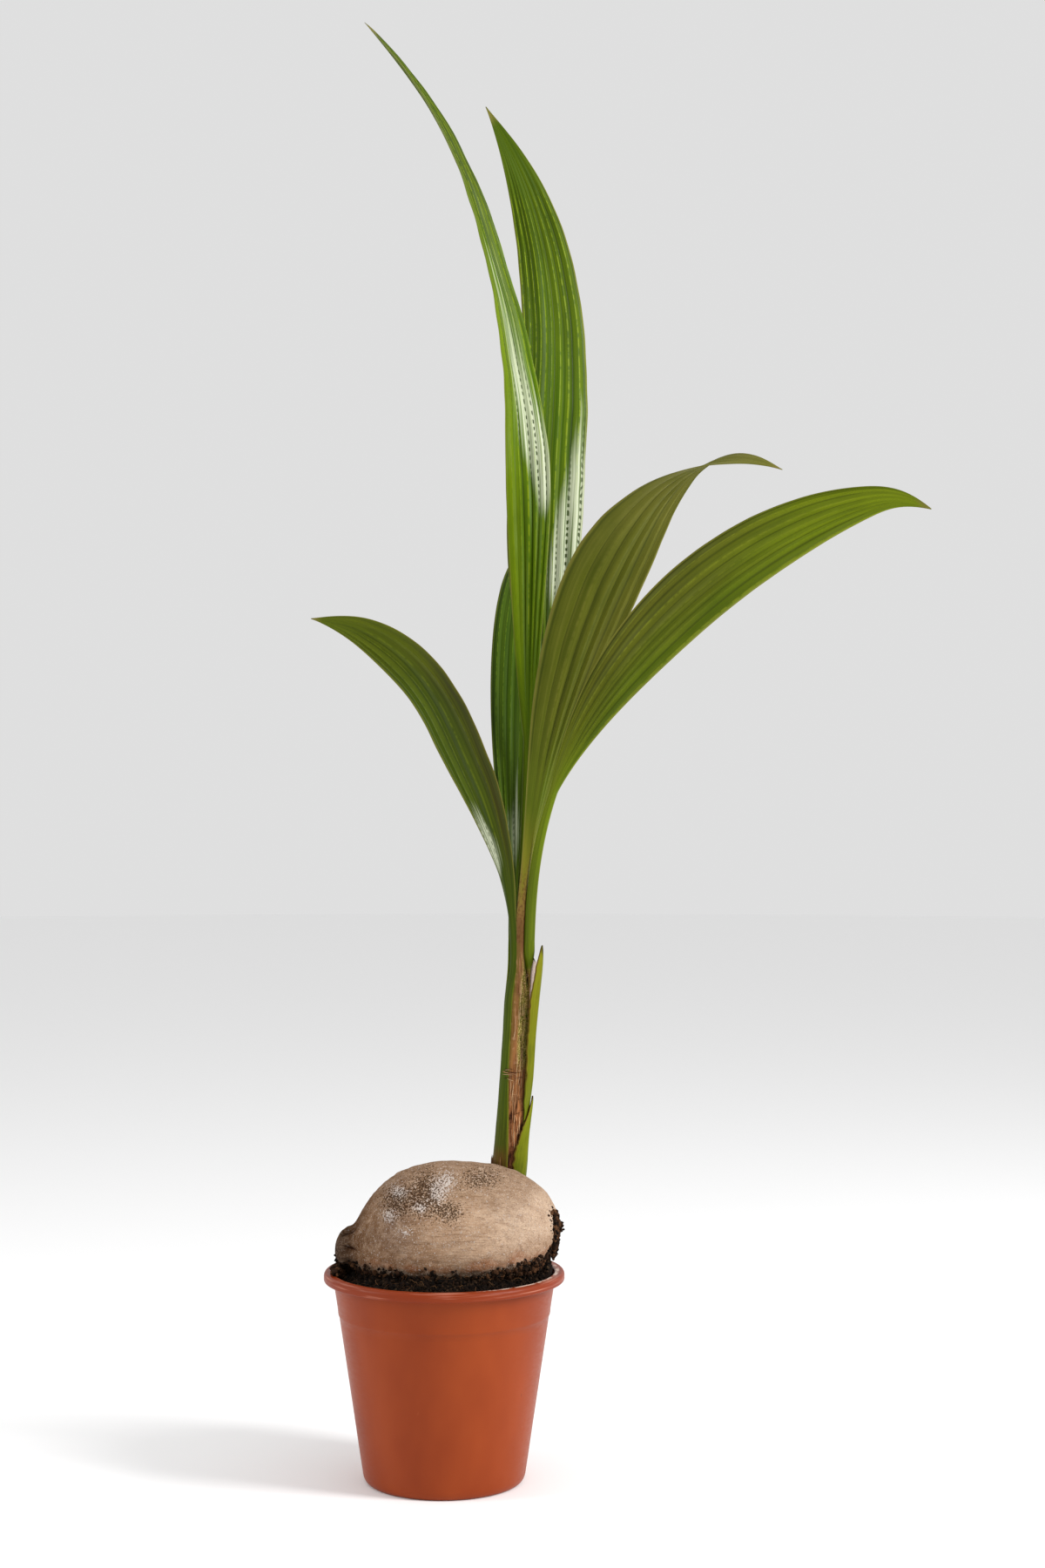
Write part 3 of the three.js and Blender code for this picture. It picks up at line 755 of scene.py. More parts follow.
def heap_places(heap):
    """Places in a heap's egg-shaped reach that lie outside the nut and clear of the pot."""
    ways = rng.normal(size=(14 * heap["count"], 3))
    ways /= np.linalg.norm(ways, axis=1)[:, None]
    spot = np.array(heap["middle"]) + ways * heap["reach"] * rng.uniform(0, 1, (len(ways), 1)) ** 0.5
    z, out = spot[:, 2], np.hypot(spot[:, 0], spot[:, 1])
    outside = ~in_nut(*spot.T, -0.5) & in_nut(*spot.T, heap["off_nut"]) & (z > 172)
    outside &= out < np.where(z > POT_HEIGHT + 8, POT_LIP_RADIUS + 4, POT_LIP_RADIUS - 4)
    outside &= (z > POT_HEIGHT + 0.5) | (out < 90)
    return spot[outside][: heap["count"]]


def clod_places():
    """Crumbs that cling to the nut above the soil, and those heaped at its two ends."""
    along_nut = rng.uniform(-NUT_NOSE_END, NUT_RIGHT, 60 * LINE_CRUMBS)
    angle = rng.uniform(-np.pi, np.pi, len(along_nut))
    skin = husk_skin(along_nut, angle, rng.uniform(0, CLING_HEIGHT, len(along_nut)))[0]
    x, y, z = skin.T
    top = soil_line(x) - 2.5 + 2.5 * ripples(skin, 9, 71) + rng.exponential(1.1, len(skin))
    kept = (z > soil_top(x, y) - 1) & (z < top) & (np.hypot(x, y) < POT_TOP_RADIUS)
    near = np.linalg.norm((skin - STRAY_CRUMBS["middle"]) / STRAY_CRUMBS["reach"], axis=1) < 1
    clods = [skin[kept][:LINE_CRUMBS], skin[near][: STRAY_CRUMBS["count"]]]
    return np.vstack(clods + [heap_places(heap) for heap in HEAPS])


def make_crumbs():
    shape, faces = ball()
    material = crumb_material("soil_crumbs")
    kinds = (
        ("soil_crumbs", crumb_places(), CRUMB_SIZES, CRUMB_TINTS),
        ("nut_clods", clod_places(), CLOD_SIZES, HEAP_TINTS),
    )
    for name, places, (low, high), tints in kinds:
        sizes = lerp(low, high, rng.uniform(0, 1, len(places)) ** 3)
        points, all_faces = scattered(shape, faces, places, sizes, 21)
        shades = palette(tints)[rng.integers(0, len(tints), len(places))]
        tint = np.repeat(shades, len(shape), axis=0)
        add_piece(name, points, material, tint=tint, faces=all_faces, soft=False)


def add_fibres(name, look, paths, radius, tints, nodes=()):
    """Thin tubes along paths, each in one of the tints."""
    points, faces = strands(paths, radius)
    tint = np.repeat(palette(rng.choice(tints, len(paths))), len(points) // len(paths), axis=0)
    add_piece(name, points, crumb_material(look), nodes, tint, faces=faces)


def make_soil_fibres():
    """Short coir threads that lie on the soil, a few of them pale."""
    paths = []
    while len(paths) < SOIL_FIBRES["count"]:
        x, y = rng.uniform(-SOIL_FIBRES["reach"], SOIL_FIBRES["reach"], 2)
        if np.hypot(x, y) > SOIL_FIBRES["reach"] or in_nut(x, y, soil_top(x, y) + 1):
            continue
        heading = rng.uniform(0, 2 * np.pi)
        step = np.linspace(0, rng.uniform(4, 12), 7)
        bend = rng.uniform(-0.09, 0.09)
        px = x + step * np.cos(heading + bend * step)
        py = y + step * np.sin(heading + bend * step)
        if np.hypot(px, py).max() < SOIL_FIBRES["reach"] + 4:
            arch = rng.uniform(0, 2.2) * np.sin(np.linspace(0, np.pi, 7))
            paths.append(stacked(px, py, soil_top(px, py) + 0.6 + arch))
    add_fibres("soil_fibres", "soil_fibres", paths, 0.22, ("301d12", "452c19", "6a4a2e"))


# Stem
def stem_rise(z):
    return (z - STEM_FOOT[2]) / (STEM_TOP[2] - STEM_FOOT[2])


def bundle_radius(z):
    return STEM_RADIUS + STEM_FLARE * (1 - np.clip(stem_rise(z), 0, 1)) ** 3


def on_stem(angle, stand, z):
    """A point at an angle round the stem's axis, in degrees, and a distance from the bundle's outside."""
    axis = stacked(lerp(STEM_FOOT[0], STEM_TOP[0], stem_rise(z)), STEM_FOOT[1], 0)
    return axis + around(bundle_radius(z) + stand, np.radians(angle), z)


def closed_strip(outer, inner):
    """Rows of loops that run along the outer face of a strip and back along its inner face."""
    return np.concatenate([outer, inner[:, ::-1]], axis=1)


def both(values):
    """The same value for the outer and inner face of a strip."""
    return closed_strip(values, values)


# Edges are angles round the stem at the foot, below the leaf's own turn-off, and at the top
SHEATHS = [
    {"name": "left_sheath", "nodes": ["sheath_left"], "leaf": "leaf_left", "tints": ("3c400a", "364606"),
        "start": (165, 162, 160), "end": (264, 244, 242), "stand": 0.1},
    {"name": "front_sheath", "nodes": ["sheath_front"], "leaf": "leaf_front",
        "start": (254, 232, 230), "end": (346, 338, 320), "stand": -0.6},
    {"name": "right_sheath", "nodes": ["sheath_right"], "leaf": "leaf_right", "tints": ("464e0b", "4a560b"),
        "start": (324, 332, 290), "end": (395, 390, 385), "stand": 0.1},
    {"name": "back_sheath", "nodes": ["sheath_back"], "leaf": "leaf_back", "tints": ("4c5410", "4c600c"),
        "start": (20, 20, 20), "end": (104, 104, 104), "stand": -0.3},
    {"name": "back_left_sheath", "nodes": [], "leaf": "leaf_back_left", "tints": ("50500f", "4a5a0c"),
        "start": (90, 90, 90), "end": (178, 176, 174), "stand": 0.2},
    {"name": "heart_sheath", "nodes": ["stem"], "leaf": "leaf_centre", "tints": ("3c3c0c", "34400a"),
        "start": (91, 91, 91), "end": (449, 449, 449), "stand": -2.6},
]
# Colours up the dry front sheath
DRY_TINTS = ((262, "6a3e24"), (285, "a2683e"), (335, "98663c"), (400, "845e34"),
    (432, "805c36"), (452, "6e442a"))


def edge_angle(edges, z):
    """A sheath edge's angle at a height, from its angles at the foot, at the turn-off and at the top."""
    lower = lerp(edges[0], edges[1], smooth(STEM_FOOT[2], PETIOLE_STARTS_Z - 40, z))
    return lerp(lower, edges[2], smooth(PETIOLE_STARTS_Z, PETIOLE_STARTS_Z + 30, z))


def sheath_strip(sheath, solid, angle, across, z):
    """Outer and inner face of a sheath, which closes at its top round its leaf's petiole."""
    leaf = LEAVES[sheath["leaf"]]
    thick = bundle_radius(z) - HEART_WALL if solid else SHEATH_THICKNESS
    outer = on_stem(angle, sheath["stand"], z)
    inner = on_stem(angle, sheath["stand"] - thick * (1 - 0.6 * np.abs(across) ** 3), z)
    reach = np.clip((z - STEM_TOP[2]) / leaf["length"], 0, 1)
    tangent, side, upper = blade_frame(leaf, reach)
    sign = np.sign(np.dot(side[0, 0], outer[0, -1] - outer[0, 0]))
    facing = np.sign(np.dot(upper[0, 0], outer[0].mean(axis=0) - inner[0].mean(axis=0)))
    rib = rib_line(leaf, reach)
    foot = rib + tangent * (np.minimum(z - STEM_TOP[2], 0) / tangent[..., 2])[..., None]
    mouth = lerp(*SHEATH_MOUTH, smooth(STEM_TOP[2] - 6, SHEATH_END_Z, z))[..., None]
    flat = folded_blade(leaf, reach, sign * across) - rib
    skin = upper * (facing * petiole_half(across))[..., None]
    turn = smooth(PETIOLE_STARTS_Z, STEM_TOP[2], z)
    return mix(outer, foot + (flat + skin) * mouth, turn), mix(inner, foot + (flat - skin) * mouth, turn)


def green_sheath_tint(sheath, angle, across, z):
    """Green that is brown at the foot and has a thin dry edge."""
    wander = ripples(stacked(angle * DEGREE_WIDTH, z * 0.3, 0), 6, 31)
    low, middle = sheath["tints"]
    tint = keyed(z + 10 * wander, [(262, low), (330, middle), (425, zones(LEAVES[sheath["leaf"]])["stalk"])])
    return layered(tint, ("5e3a1c", smooth(279, 262, z + 6 * wander) * 0.8),
        ("7c7c24", smooth(0.84, 1, np.abs(across)) * smooth(445, 415, z) * 0.6))


def speckled(angle, z, wander=0.0):
    """How far a place lies in the green and brown specks on the right of the dry sheath."""
    return smooth(272, 284, angle + 3 * wander) * smooth(335, 350, z + 4 * wander) * smooth(440, 425, z)


def dry_sheath_tint(angle, z):
    """Tan on its left, green and brown specks on its right, and red brown near the foot."""
    wander = ripples(stacked(angle * DEGREE_WIDTH, z * 0.3, 0), 6, 32)
    return layered(keyed(z + 8 * wander, DRY_TINTS), ("747420", speckled(angle, z, wander) * 0.85),
        ("5c6414", smooth(262, 252, angle + 2 * wander) * smooth(330, 350, z) * 0.3),
        ("5a341e", smooth(279, 262, z + 5 * wander) * 0.7))


def make_sheath(sheath, green, fibre):
    dry, solid = "tints" not in sheath, sheath["nodes"] == ["stem"]
    levels = np.linspace(STEM_FOOT[2] - SHEATH_SUNK, SHEATH_END_Z, 140)
    across, z = np.meshgrid(np.linspace(-1, 1, 61 if solid else 33), levels)
    start, end = edge_angle(sheath["start"], z), edge_angle(sheath["end"], z)
    angle = (start + end) / 2 + (end - start) / 2 * across
    outer, inner = sheath_strip(sheath, solid, angle, across, z)
    relief = 0.12 * np.sin(angle * 0.8) + 0.16 * ripples(outer * [1, 1, 0.12], 1.6, 33)
    if dry:
        relief = relief + 0.3 * ripples(outer * [1, 1, 0.3], 1.8, 34) * smooth(445, 420, z)
    fading = smooth(SHEATH_END_Z, PETIOLE_STARTS_Z, z)
    outer = outer + around(1, np.radians(angle), 0) * (relief * fading)[..., None]
    values = {}
    if dry:
        cracked = smooth(345, 300, z) * smooth(0.9, 0.5, across)
        values = {"cracks": both(cracked), "specks": both(speckled(angle, z))}
    elif sheath["leaf"] == "leaf_right":
        values = {"specks": both(smooth(426, 420, z + 3 * ripples(outer, 4, 35)) * smooth(300, 330, z))}
    tint = both(dry_sheath_tint(angle, z) if dry else green_sheath_tint(sheath, angle, across, z))
    material, slot = (fibre, "fibre") if dry else (green, "sheath")
    points, grain = closed_strip(outer, inner), both(stacked(angle * DEGREE_WIDTH, z))
    add_piece(sheath["name"], points, material, sheath["nodes"], tint, grain, values)


def make_sheaths():
    green, fibre = sheath_material("green_sheath", 0.42, "6a7614"), fibre_material()
    for sheath in SHEATHS:
        make_sheath(sheath, green, fibre)


# Both edges as angles round the stem and the distance from it, at equal steps from foot to tip
SCALE_LEAVES = [
    {"name": "upper_scale_leaf", "node": "scale_leaf_upper", "low": 296, "high": 443, "bluntness": 16,
        "start": (-44, -51, -53, -52, -40), "end": (14, 10, 4, -4, -22), "stand": (1.6, 3.9, 4.9, 7, 9.6),
        "tints": ("4c560c", "5c6006", "6a6a0c")},
    {"name": "lower_scale_leaf", "node": "scale_leaf_lower", "low": 236, "high": 316, "bluntness": 6,
        "start": (-92, -82, -68, -44, -18), "end": (24, 20, 16, 10, -2), "stand": (0.3, 0.5, 1.3, 2.8, 4.6),
        "tints": ("4a5208", "586006", "666c06")},
]
SCALE_THICKNESS = 1.2
SCALE_EDGE = 0.3
MEMBRANE = {"low": 0.64, "high": 0.91, "inner_angle": -30, "thickness": 0.4}


def make_scale_leaves():
    """Two dry-tipped scale leaves that lie against the stem and thin out into it at their feet."""
    material = sheath_material("scale_leaf", 0.5, "84841a")
    across, rise = np.meshgrid(np.linspace(-1, 1, 29), np.linspace(0, 1, 120))
    for scale in SCALE_LEAVES:
        narrow = np.maximum((1 - rise ** scale["bluntness"]) ** 0.6, 0.03)
        jag = 1 + 0.09 * ripples(stacked(rise * 90, 0, 0), 3, 41) * np.clip(-across, 0, 1)
        first, last, stand = (along(scale[key], rise) for key in ("start", "end", "stand"))
        angle = (first + last) / 2 + (last - first) / 2 * narrow * jag * across
        z = lerp(scale["low"], scale["high"], rise)
        thick = SCALE_THICKNESS * (1 - 0.7 * np.abs(across)) * (0.4 + 0.6 * narrow)
        skin = thick * smooth(0, 0.25, rise) + SCALE_EDGE
        keel = 0.5 * hill(across / 0.18) * narrow * smooth(0, 0.3, rise)
        points = closed_strip(on_stem(angle, stand + skin + keel, z), on_stem(angle, stand - SCALE_EDGE, z))
        tint = layered(keyed(rise, list(zip((0, 0.3, 0.9), scale["tints"]))),
            ("3c5206", smooth(0.1, 0.9, across) * 0.55),
            ("4a2a10", smooth(0.8, 1.0, -across) * smooth(0.1, 0.3, rise) * 0.9),
            ("241208", smooth(0.93, 0.97, rise + 0.02 * across)))
        grain = both(stacked(across * 9, z))
        add_piece(scale["name"], points, material, [scale["node"]], both(tint), grain)


def make_membrane():
    """The pale torn film between the stem and the upper scale leaf's left edge."""
    scale = SCALE_LEAVES[0]
    across, share = np.meshgrid(np.linspace(0, 1, 13), np.linspace(0, 1, 60))
    torn = 0.02 * ripples(stacked(across * 30, 0, 0), 5, 42)
    rise = lerp(MEMBRANE["low"], MEMBRANE["high"] + torn, share)
    z = lerp(scale["low"], scale["high"], rise)
    angle = lerp(MEMBRANE["inner_angle"], along(scale["start"], rise) + 4, across)
    stand = lerp(0.4, along(scale["stand"], rise), across**1.5)
    stand = stand + 0.25 * ripples(stacked(across * 9, z, 0), 2.5, 43)
    points = closed_strip(on_stem(angle, stand - MEMBRANE["thickness"], z), on_stem(angle, stand, z))
    tint = mix(srgb("a87860"), srgb("e6d2c8"), smooth(0.05, 0.5, share))
    grain = both(stacked(across * 8, z))
    add_piece("torn_membrane", points, fibre_material(), [], both(tint), grain)


def make_collar():
    """Torn husk fibres that lie round the back of the stem's foot."""
    paths, rise = [], np.linspace(0, 1, 7)
    for _ in range(COLLAR_COUNT):
        angle = rng.uniform(6, 254)
        z = np.linspace(226, rng.uniform(250, 266), 7)
        stand = 0.4 + rng.uniform(0, 0.9) + rng.uniform(0, 0.8) * rise**3
        paths.append(on_stem(angle + rng.uniform(-9, 9) * rise, stand, z))
    add_fibres("husk_collar", "husk_fibre", paths, 0.5, ("6e4a2c", "8a6440", "53361f"), ["collar"])


def make_torn_fibres():
    """Fine fibres that lie across and along the dry front sheath."""
    paths, rise = [], np.linspace(0, 1, 6)
    for _ in range(TORN_COUNTS[0]):
        angle = rng.uniform(212, 246) + rng.uniform(25, 62) * rise
        z = rng.uniform(331, 340) + rng.uniform(-2, 2) * rise
        paths.append(on_stem(angle, 0.45 + 0.3 * np.sin(np.linspace(0, 5, 6) + z[0]), z))
    for _ in range(TORN_COUNTS[1]):
        low = rng.uniform() < 0.6
        foot = rng.uniform(268, 345) if low else rng.uniform(345, 425)
        level = rng.uniform() < 0.35
        reach = rng.uniform(8, 26) if level else rng.uniform(-7, 7)
        angle = rng.uniform(258, 310) + reach * rise
        z = foot + (rng.uniform(-1.5, 1.5) if level else rng.uniform(6, 22)) * rise
        paths.append(on_stem(angle, -0.45 + rng.uniform(0, 0.5) + rng.uniform(0, 0.7) * rise**2, z))
    tints = ("b98a62", "8c5a3c", "4a2c1a", "d0aa80")
    add_fibres("torn_fibres", "sheath_fibre", paths, 0.22, tints)


# Colours of a blade's upper and lower face, its two margins, foot, stalk and tip. The margins' colours are
# partly the leaf's own and partly painted light through the blade and painted shade.
TINT_ZONES = ("upper", "under", "low_margin", "high_margin", "foot", "stalk", "tip")

# Lean, bearing, roll and fold are in degrees at equal steps from the foot to the tip. Zones of painted sheen
# have a share of the length and a place across, their widths and their strength.
LEAVES = {
    "leaf_left": {
        "clasp": 1.0, "foot": (57.6, 19), "length": 348, "width": 57, "stalk": 0.06, "rise": 1.5, "fall": 1.2,
        "lean": (2, 15, 23, 28, 53, 84), "bearing": (190, 190, 190), "roll": (-30, -32, -34, -65),
        "fold": (20, 10, 5, 0), "pitch": 9.5, "blade": "shaded",
        "tints": ("3c4a07", "384605", "425608", "36300f", "364408", "303e08", "505a0c"),
        "painted_sheen": ((0.33, -0.6, 0.09, 0.5, 0.5), (0.26, -0.4, 0.06, 0.8, 0.65), (0.2, -0.3, 0.05, 0.8, 0.42)),
    },
    "leaf_right": {
        "clasp": 1.7, "foot": (70.2, 16.2), "length": 575, "width": 50, "stalk": 0.24, "rise": 1.12,
        "fall": 1.03, "lean": (3, 25, 43, 55, 70, 88), "bearing": (-62, -40, -34), "roll": (36, 64, 58, 80),
        "hook": 28, "fold": (20, 10, 5, 0), "pitch": 9, "blade": "olive",
        "tints": ("525a0c", "535a0c", "545414", "566a06", "6c8008", "485608", "728408"),
    },
    "leaf_front": {
        "clasp": 1.4, "foot": (63.7, 17.4), "length": 523, "width": 69, "stalk": 0.1, "rise": 1.8,
        "fall": 1.3, "lean": (2, 16, 22, 30, 56, 115), "bearing": (-50, -42, -34), "roll": (10, 20, 22, -40),
        "fold": (30, 20, 10, 0), "pitch": 11, "blade": "dull", "stain": 1,
        "tints": ("585c14", "4a500b", "4a500b", "525212", "52680a", "8a8024", "706e2a"),
    },
    "leaf_centre": {
        "clasp": 3.6, "foot": (64, 24.5), "length": 806, "width": 47, "stalk": 0.22, "rise": 0.85,
        "fall": 0.45, "lean": (-4, 0, 0, 9, 21, 44), "bearing": (180, 184, 190),
        "roll": (91, 95, 98, 42, 24, 20), "fold": (20, 15, 10, 5), "pitch": 7.5, "blade": "bright",
        "tints": ("4c6a08", "566c14", "4e6c09", "647a04", "526808", "3c4e0a", "303e0c"),
        "painted_sheen": ((0.73, 0.1, 0.05, 0.9, 0.4), (0.66, 0.1, 0.05, 0.9, 0.42), (0.59, -0.1, 0.05, 0.75, 0.7),
            (0.53, -0.4, 0.045, 0.6, 0.9), (0.48, -0.7, 0.04, 0.4, 0.75), (0.13, 0, 0.07, 1, 0.35)),
    },
    "leaf_back": {
        "clasp": 2.4, "foot": (70.5, 32), "length": 738, "width": 75, "stalk": 0.22, "rise": 1.2,
        "fall": 1.15, "lean": (3, 14, 4, -5, 9, 30), "bearing": (66, 86, 155, 178), "roll": (18, 2, 24, 74),
        "fold": (25, 12, 8, 5), "pitch": 8.5, "blade": "bright",
        "tints": ("385404", "566c14", "4c6414", "2e4602", "4c5e08", "42540a", "3a4e06"),
        "painted_sheen": ((0.64, -0.9, 0.06, 0.35, 0.4), (0.56, -0.85, 0.05, 0.42, 0.6),
            (0.49, -0.7, 0.05, 0.42, 0.95), (0.43, -0.5, 0.045, 0.42, 0.9)),
    },
    "leaf_back_left": {
        "clasp": 2.6, "foot": (58, 31.5), "length": 500, "width": 41, "stalk": 0.08, "rise": 0.9, "fall": 0.8,
        "lean": (3, 20, 26, 38, 60, 95), "bearing": (94, 86, 76), "roll": (0, 0, 0, 0),
        "fold": (30, 20, 15, 10), "pitch": 7, "blade": "deep",
        "tints": ("3e5806", "3b4a08", "384e06", "324a06", "384a06", "3c4c0a", "3e5408"),
        "painted_sheen": ((0.36, -0.2, 0.22, 0.05, 0.8), (0.2, 0, 0.09, 0.8, 0.6)),
    },
}

# Colour of the pale stripes, share of the painted highlight on the ridges, strength of the pale and dark
# bands and of the painted light and shade on the facets, and roughness
BLADES = {
    "bright": ("7c8c12", 0.68, 0.2, 0.34),
    "shaded": ("6c7818", 0.5, 0.2, 0.4),
    "olive": ("7c8420", 0.4, 0.16, 0.45),
    "dull": ("70702a", 0.25, 0.08, 0.5),
    "deep": ("6c841c", 0.65, 0.2, 0.42),
}


def zones(leaf):
    return dict(zip(TINT_ZONES, leaf["tints"]))


def along(values, share):
    """A smooth curve through values that stand at equal steps."""
    values = np.asarray(values, float)
    last = len(values) - 1
    spot = np.clip(share, 0, 1) * last
    i = np.minimum(spot.astype(int), last - 1)
    before, start, end, after = (values[np.clip(i + k, 0, last)] for k in (-1, 0, 1, 2))
    f = spot - i
    bend = 2 * before - 5 * start + 4 * end - after + f * (3 * (start - end) + after - before)
    return start + 0.5 * f * (end - before + f * bend)


def blade_frame(leaf, share):
    """Along the rib, across the blade and out of its upper face, at shares of the leaf's length."""
    lean, bearing, roll = (np.radians(along(leaf[key], share)) for key in ("lean", "bearing", "roll"))
    lean = lean + np.radians(leaf.get("hook", 0)) * smooth(0.9, 1, share)
    tangent = around(np.sin(lean), bearing, np.cos(lean))
    level = stacked(-np.sin(bearing), np.cos(bearing), 0)
    across = level * np.cos(roll)[..., None] - np.cross(tangent, level) * np.sin(roll)[..., None]
    return tangent, across, np.cross(tangent, across)


def rib_line(leaf, share):
    steps = np.linspace(0, 1, RIB_STEPS + 1)
    tangent = blade_frame(leaf, (steps[1:] + steps[:-1]) / 2)[0]
    foot = np.array([*leaf["foot"], STEM_TOP[2]])
    path = np.vstack([foot, foot + np.cumsum(tangent, axis=0) * leaf["length"] / RIB_STEPS])
    return stacked(*(np.interp(share, steps, path[:, k]) for k in range(3)))


def half_width(leaf, share):
    s = np.clip((share - leaf["stalk"]) / (1 - leaf["stalk"]), 0, 1)
    peak = leaf["rise"] / (leaf["rise"] + leaf["fall"])
    most = peak ** leaf["rise"] * (1 - peak) ** leaf["fall"]
    blade = s ** leaf["rise"] * (1 - s) ** leaf["fall"] / most
    foot = PETIOLE_RADIUS * (1 - s) + leaf["clasp"] * smooth(CLASP_SHARE, 0, share)
    return foot + TIP_RADIUS * s + leaf["width"] / 2 * blade


def folded_blade(leaf, share, across):
    """Points in the middle of a blade's thickness, before it is pleated."""
    side, upper = blade_frame(leaf, share)[1:]
    half = half_width(leaf, share)
    fold = np.radians(along(leaf["fold"], share))
    out, lift = half * across * np.cos(fold), half * np.abs(across) * np.sin(fold)
    return rib_line(leaf, share) + side * out[..., None] + upper * lift[..., None]


def petiole_half(across):
    return np.maximum(np.sqrt(np.clip(1 - across**2, 0, 1)) * PETIOLE_THICKNESS / 2, PETIOLE_EDGE)


def facet_columns(pleats, seed):
    """Places across a blade with their phase and depth of folding, close together at its uneven creases."""
    dice = np.random.default_rng(seed)
    turns = np.arange(-pleats, pleats + 1)
    steps = np.cumsum(np.append(0, dice.uniform(*PLEAT_WIDTHS, 2 * pleats)))
    inner = [m + step for m in turns for step in FACET_STEPS if abs(m + step) < pleats]
    phase = np.array([-pleats, *inner, pleats])[::-1]
    across = np.interp(phase, turns, steps / steps[-1] * 2 - 1)
    return across, phase, np.interp(phase, turns, dice.uniform(*PLEAT_DEPTHS, len(turns)))


def pleated(phase):
    """Height of the folds across a blade, from -1 in the grooves to 1 on the ridges."""
    return np.arcsin(0.98 * np.sin(phase * np.pi)) * 2 / np.pi


def leaf_tint(leaf, share, across, wave, face):
    """Zones of a blade: margins, foot, tip and dry edge, with painted shade in the grooves between its pleats
    and painted light on their ridges.
    """
    colours, stain = zones(leaf), leaf.get("stain", 0)
    wander = ripples(stacked(across * 20, share * leaf["length"] * 0.15, 0), 9, 51)
    tint = layered(np.broadcast_to(srgb(colours[face]), (*share.shape, 3)),
        # Margin colours, partly the leaf's own and partly painted light through the blade and painted shade
        (colours["high_margin"], smooth(-0.1, 0.8, across + 0.2 * wander) * 0.85),
        (colours["low_margin"], smooth(0.0, 0.8, -across + 0.2 * wander) * 0.85),
        (colours["foot"], smooth(0.42, 0.08, share + 0.04 * wander) * 0.8),
        (colours["tip"], smooth(0.6, 0.85, share + 0.04 * wander) * 0.85))
    # Painted shade in the grooves and painted light on the ridges of the pleats
    return layered(tint * (0.88 + 0.15 * (wave + 1) / 2)[..., None],
        (colours["stalk"], smooth(0.24, 0.08, share + 0.02 * wander) * 0.9),
        ("8c623a", stain * smooth(0.13, 0.045, share + 0.03 * wander)),
        ("6e442a", stain * smooth(0.062, 0.042, share + 0.01 * wander) * 0.85),
        ("8a8040", smooth(0.965, 1.0, np.abs(across)) * 0.6),
        ("7c7038", smooth(0.975, 0.99, share + 0.004 * wander) * 0.8))


def painted_sheen_zones(leaf, share, across):
    """How strong a blade's painted sheen is at each point."""
    total = np.zeros_like(share)
    for s, a, length, width, strength in leaf.get("painted_sheen", ()):
        total = total + strength * hill((share - s) / length, (across - a) / width)
    return smooth(0.15, 1, total)


def blade_faces(leaf, share, across, wave):
    """Upper and lower face of a pleated blade, whose stalk is round, and how far it is opened."""
    upper, half = blade_frame(leaf, share)[2], half_width(leaf, share)
    opened = np.clip(half / (leaf["width"] / 2) - 0.05, 0, 1)
    middle = folded_blade(leaf, share, across)
    folds = wave * PLEAT_DEPTH * smooth(0.1, 0.75, opened)
    sway = 0.7 * opened * ripples(middle, 34, 61) + 0.5 * opened * np.abs(across) * ripples(middle, 16, 62)
    middle = middle + upper * (folds + sway)[..., None]
    stalky = smooth(0.55, 0.12, opened) * smooth(0.6, 0.3, share)
    thin = LAMINA / 2 * (1 - 0.5 * across**2) * (1 - 0.4 * share)
    rib = RIB_DEPTH * hill(half * across / RIB_WIDTH) * (1 - share) ** 0.7
    top = middle + upper * lerp(thin, petiole_half(across), stalky)[..., None]
    return top, middle - upper * lerp(thin + rib, petiole_half(across), stalky)[..., None], opened


def make_leaf(name, leaf, material, seed):
    columns, phase, depth = facet_columns(round(leaf["width"] / leaf["pitch"]), seed)
    rows = round(leaf["length"] / ROW_PITCH)
    across, share = np.meshgrid(columns, np.linspace(0, 1, rows) ** 1.02)
    wave, depth = (np.broadcast_to(column, share.shape) for column in (pleated(phase) * depth, depth))
    top, below, opened = blade_faces(leaf, share, across, wave)
    upside = leaf_tint(leaf, share, across, wave, "upper")
    underside = leaf_tint(leaf, share, across, -wave, "under")
    flat = smooth(0.1, 0.5, opened)
    values = {
        "painted_sheen": both(painted_sheen_zones(leaf, share, across)),
        "pleats": closed_strip(flat, -flat),
        "depth": both(depth),
        "specks": both(leaf.get("stain", 0) * smooth(0.15, 0.08, share)),
    }
    nodes = [f"{name}_{part}" for part in ("lower", "middle", "upper")]
    tint, grain = closed_strip(upside, underside), both(stacked(phase * BLADE_GRAIN, share * leaf["length"]))
    add_piece(name, closed_strip(top, below), material, nodes, tint, grain, values)


def make_leaves():
    materials = {key: blade_material(key + "_blade", *numbers) for key, numbers in BLADES.items()}
    for seed, (name, leaf) in enumerate(LEAVES.items()):
        make_leaf(name, leaf, materials[leaf["blade"]], 80 + seed)


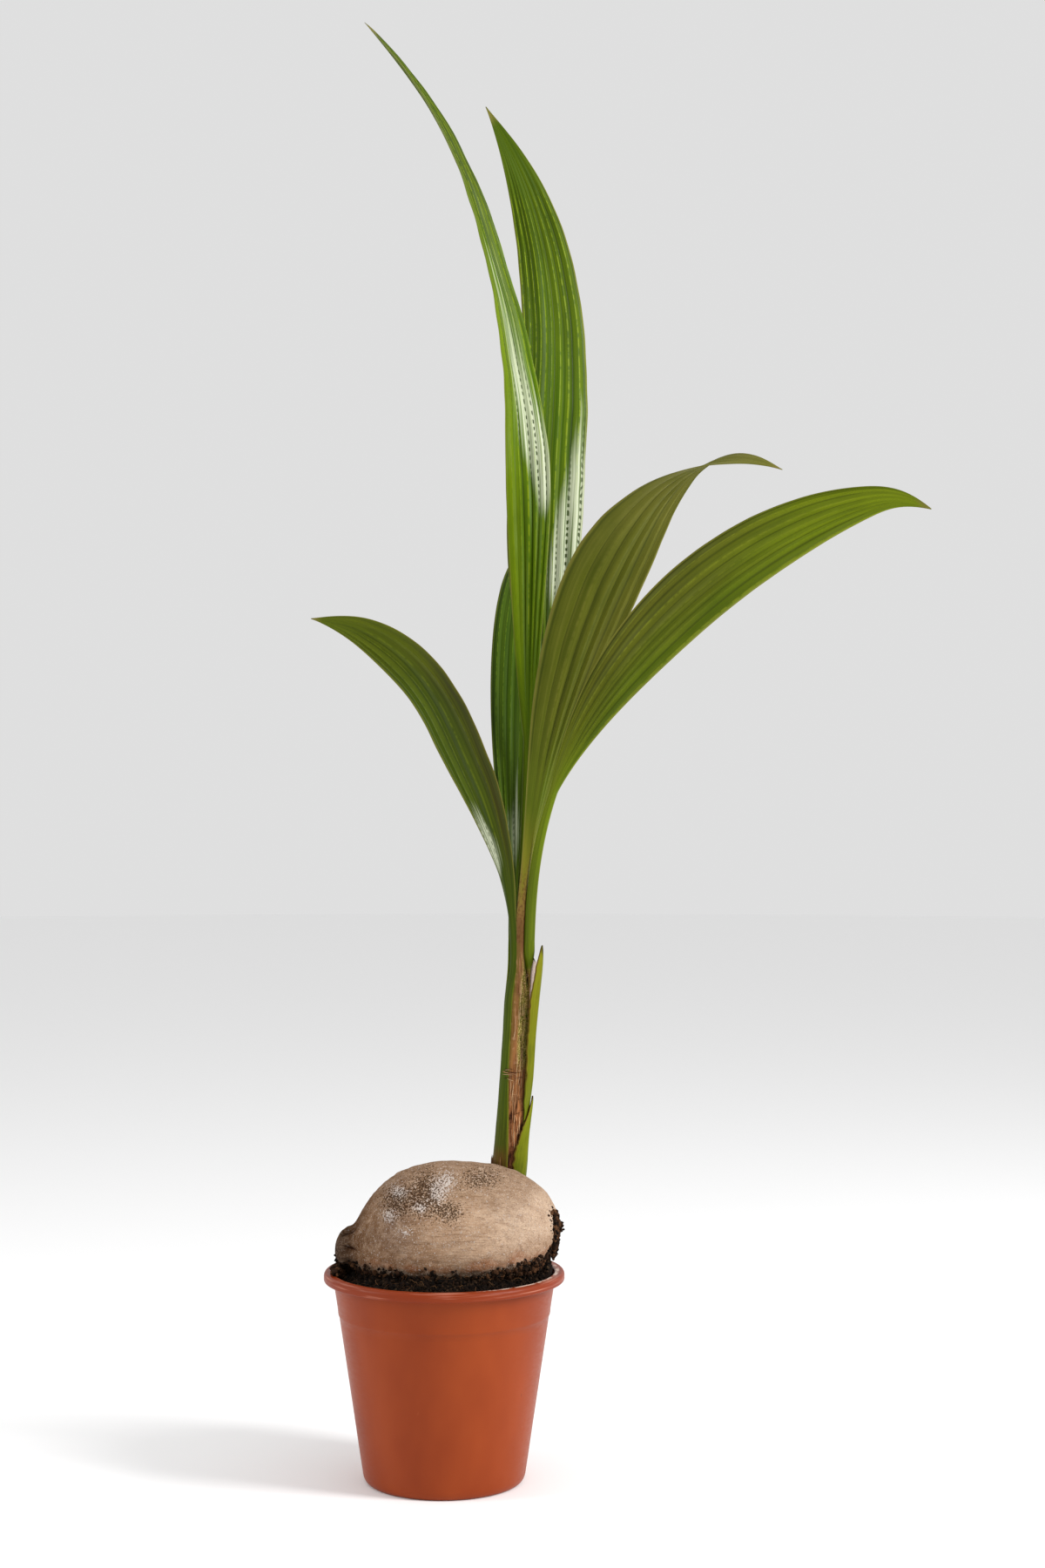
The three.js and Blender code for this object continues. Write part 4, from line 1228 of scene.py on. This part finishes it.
# Studio
def make_floor():
    mesh = bpy.data.meshes.new("floor")
    ring = lathe([[FLOOR_RADIUS, 0]], FLOOR_SIDES)[0]
    mesh.from_pydata((ring * MM).tolist(), [], [list(range(FLOOR_SIDES))])
    mesh.materials.append(Nodes("pale_floor", 0.5, (0.97, 0.97, 0.97)).finished(0.9))
    placed("floor", mesh)


def add_light(name, place, power):
    """A softbox that is aimed at the plant's middle."""
    light = bpy.data.lights.new(name, "AREA")
    light.shape = "RECTANGLE"
    light.size, light.size_y = SOFTBOX
    light.energy = power
    lamp = placed(name, light)
    lamp.location = place
    lamp.rotation_euler = (Vector(LIGHT_AIM) - Vector(place)).to_track_quat("-Z", "Y").to_euler()


def make_studio():
    world = bpy.data.worlds.new("studio")
    world.use_nodes = True
    background = world.node_tree.nodes["Background"]
    background.inputs["Color"].default_value = (1, 1, 1, 1)
    background.inputs["Strength"].default_value = WORLD_LIGHT
    bpy.context.scene.world = world
    bpy.context.scene.view_settings.view_transform = "Standard"
    add_light("right_softbox", (1.9, -0.8, 1.5), 54)
    add_light("left_softbox", (-1.9, -0.5, 1.1), 14)


def make_camera():
    camera = placed("camera", bpy.data.cameras.new("camera"))
    camera.data.lens = CAMERA_LENS
    camera.data.sensor_width = 36
    camera.location = [v * MM for v in CAMERA_PLACE]
    camera.rotation_euler = (np.pi / 2, 0, 0)
    bpy.context.scene.camera = camera


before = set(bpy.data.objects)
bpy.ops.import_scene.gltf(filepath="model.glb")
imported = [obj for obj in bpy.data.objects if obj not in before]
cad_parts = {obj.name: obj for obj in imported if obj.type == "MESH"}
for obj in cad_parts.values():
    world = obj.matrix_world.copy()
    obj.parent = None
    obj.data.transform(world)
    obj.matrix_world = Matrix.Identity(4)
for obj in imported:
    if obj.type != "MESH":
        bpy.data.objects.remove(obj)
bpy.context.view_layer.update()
make_camera()
make_studio()
make_floor()
make_pot()
make_nut()
make_soil()
make_crumbs()
make_soil_fibres()
make_sheaths()
make_scale_leaves()
make_membrane()
make_collar()
make_torn_fibres()
make_leaves()
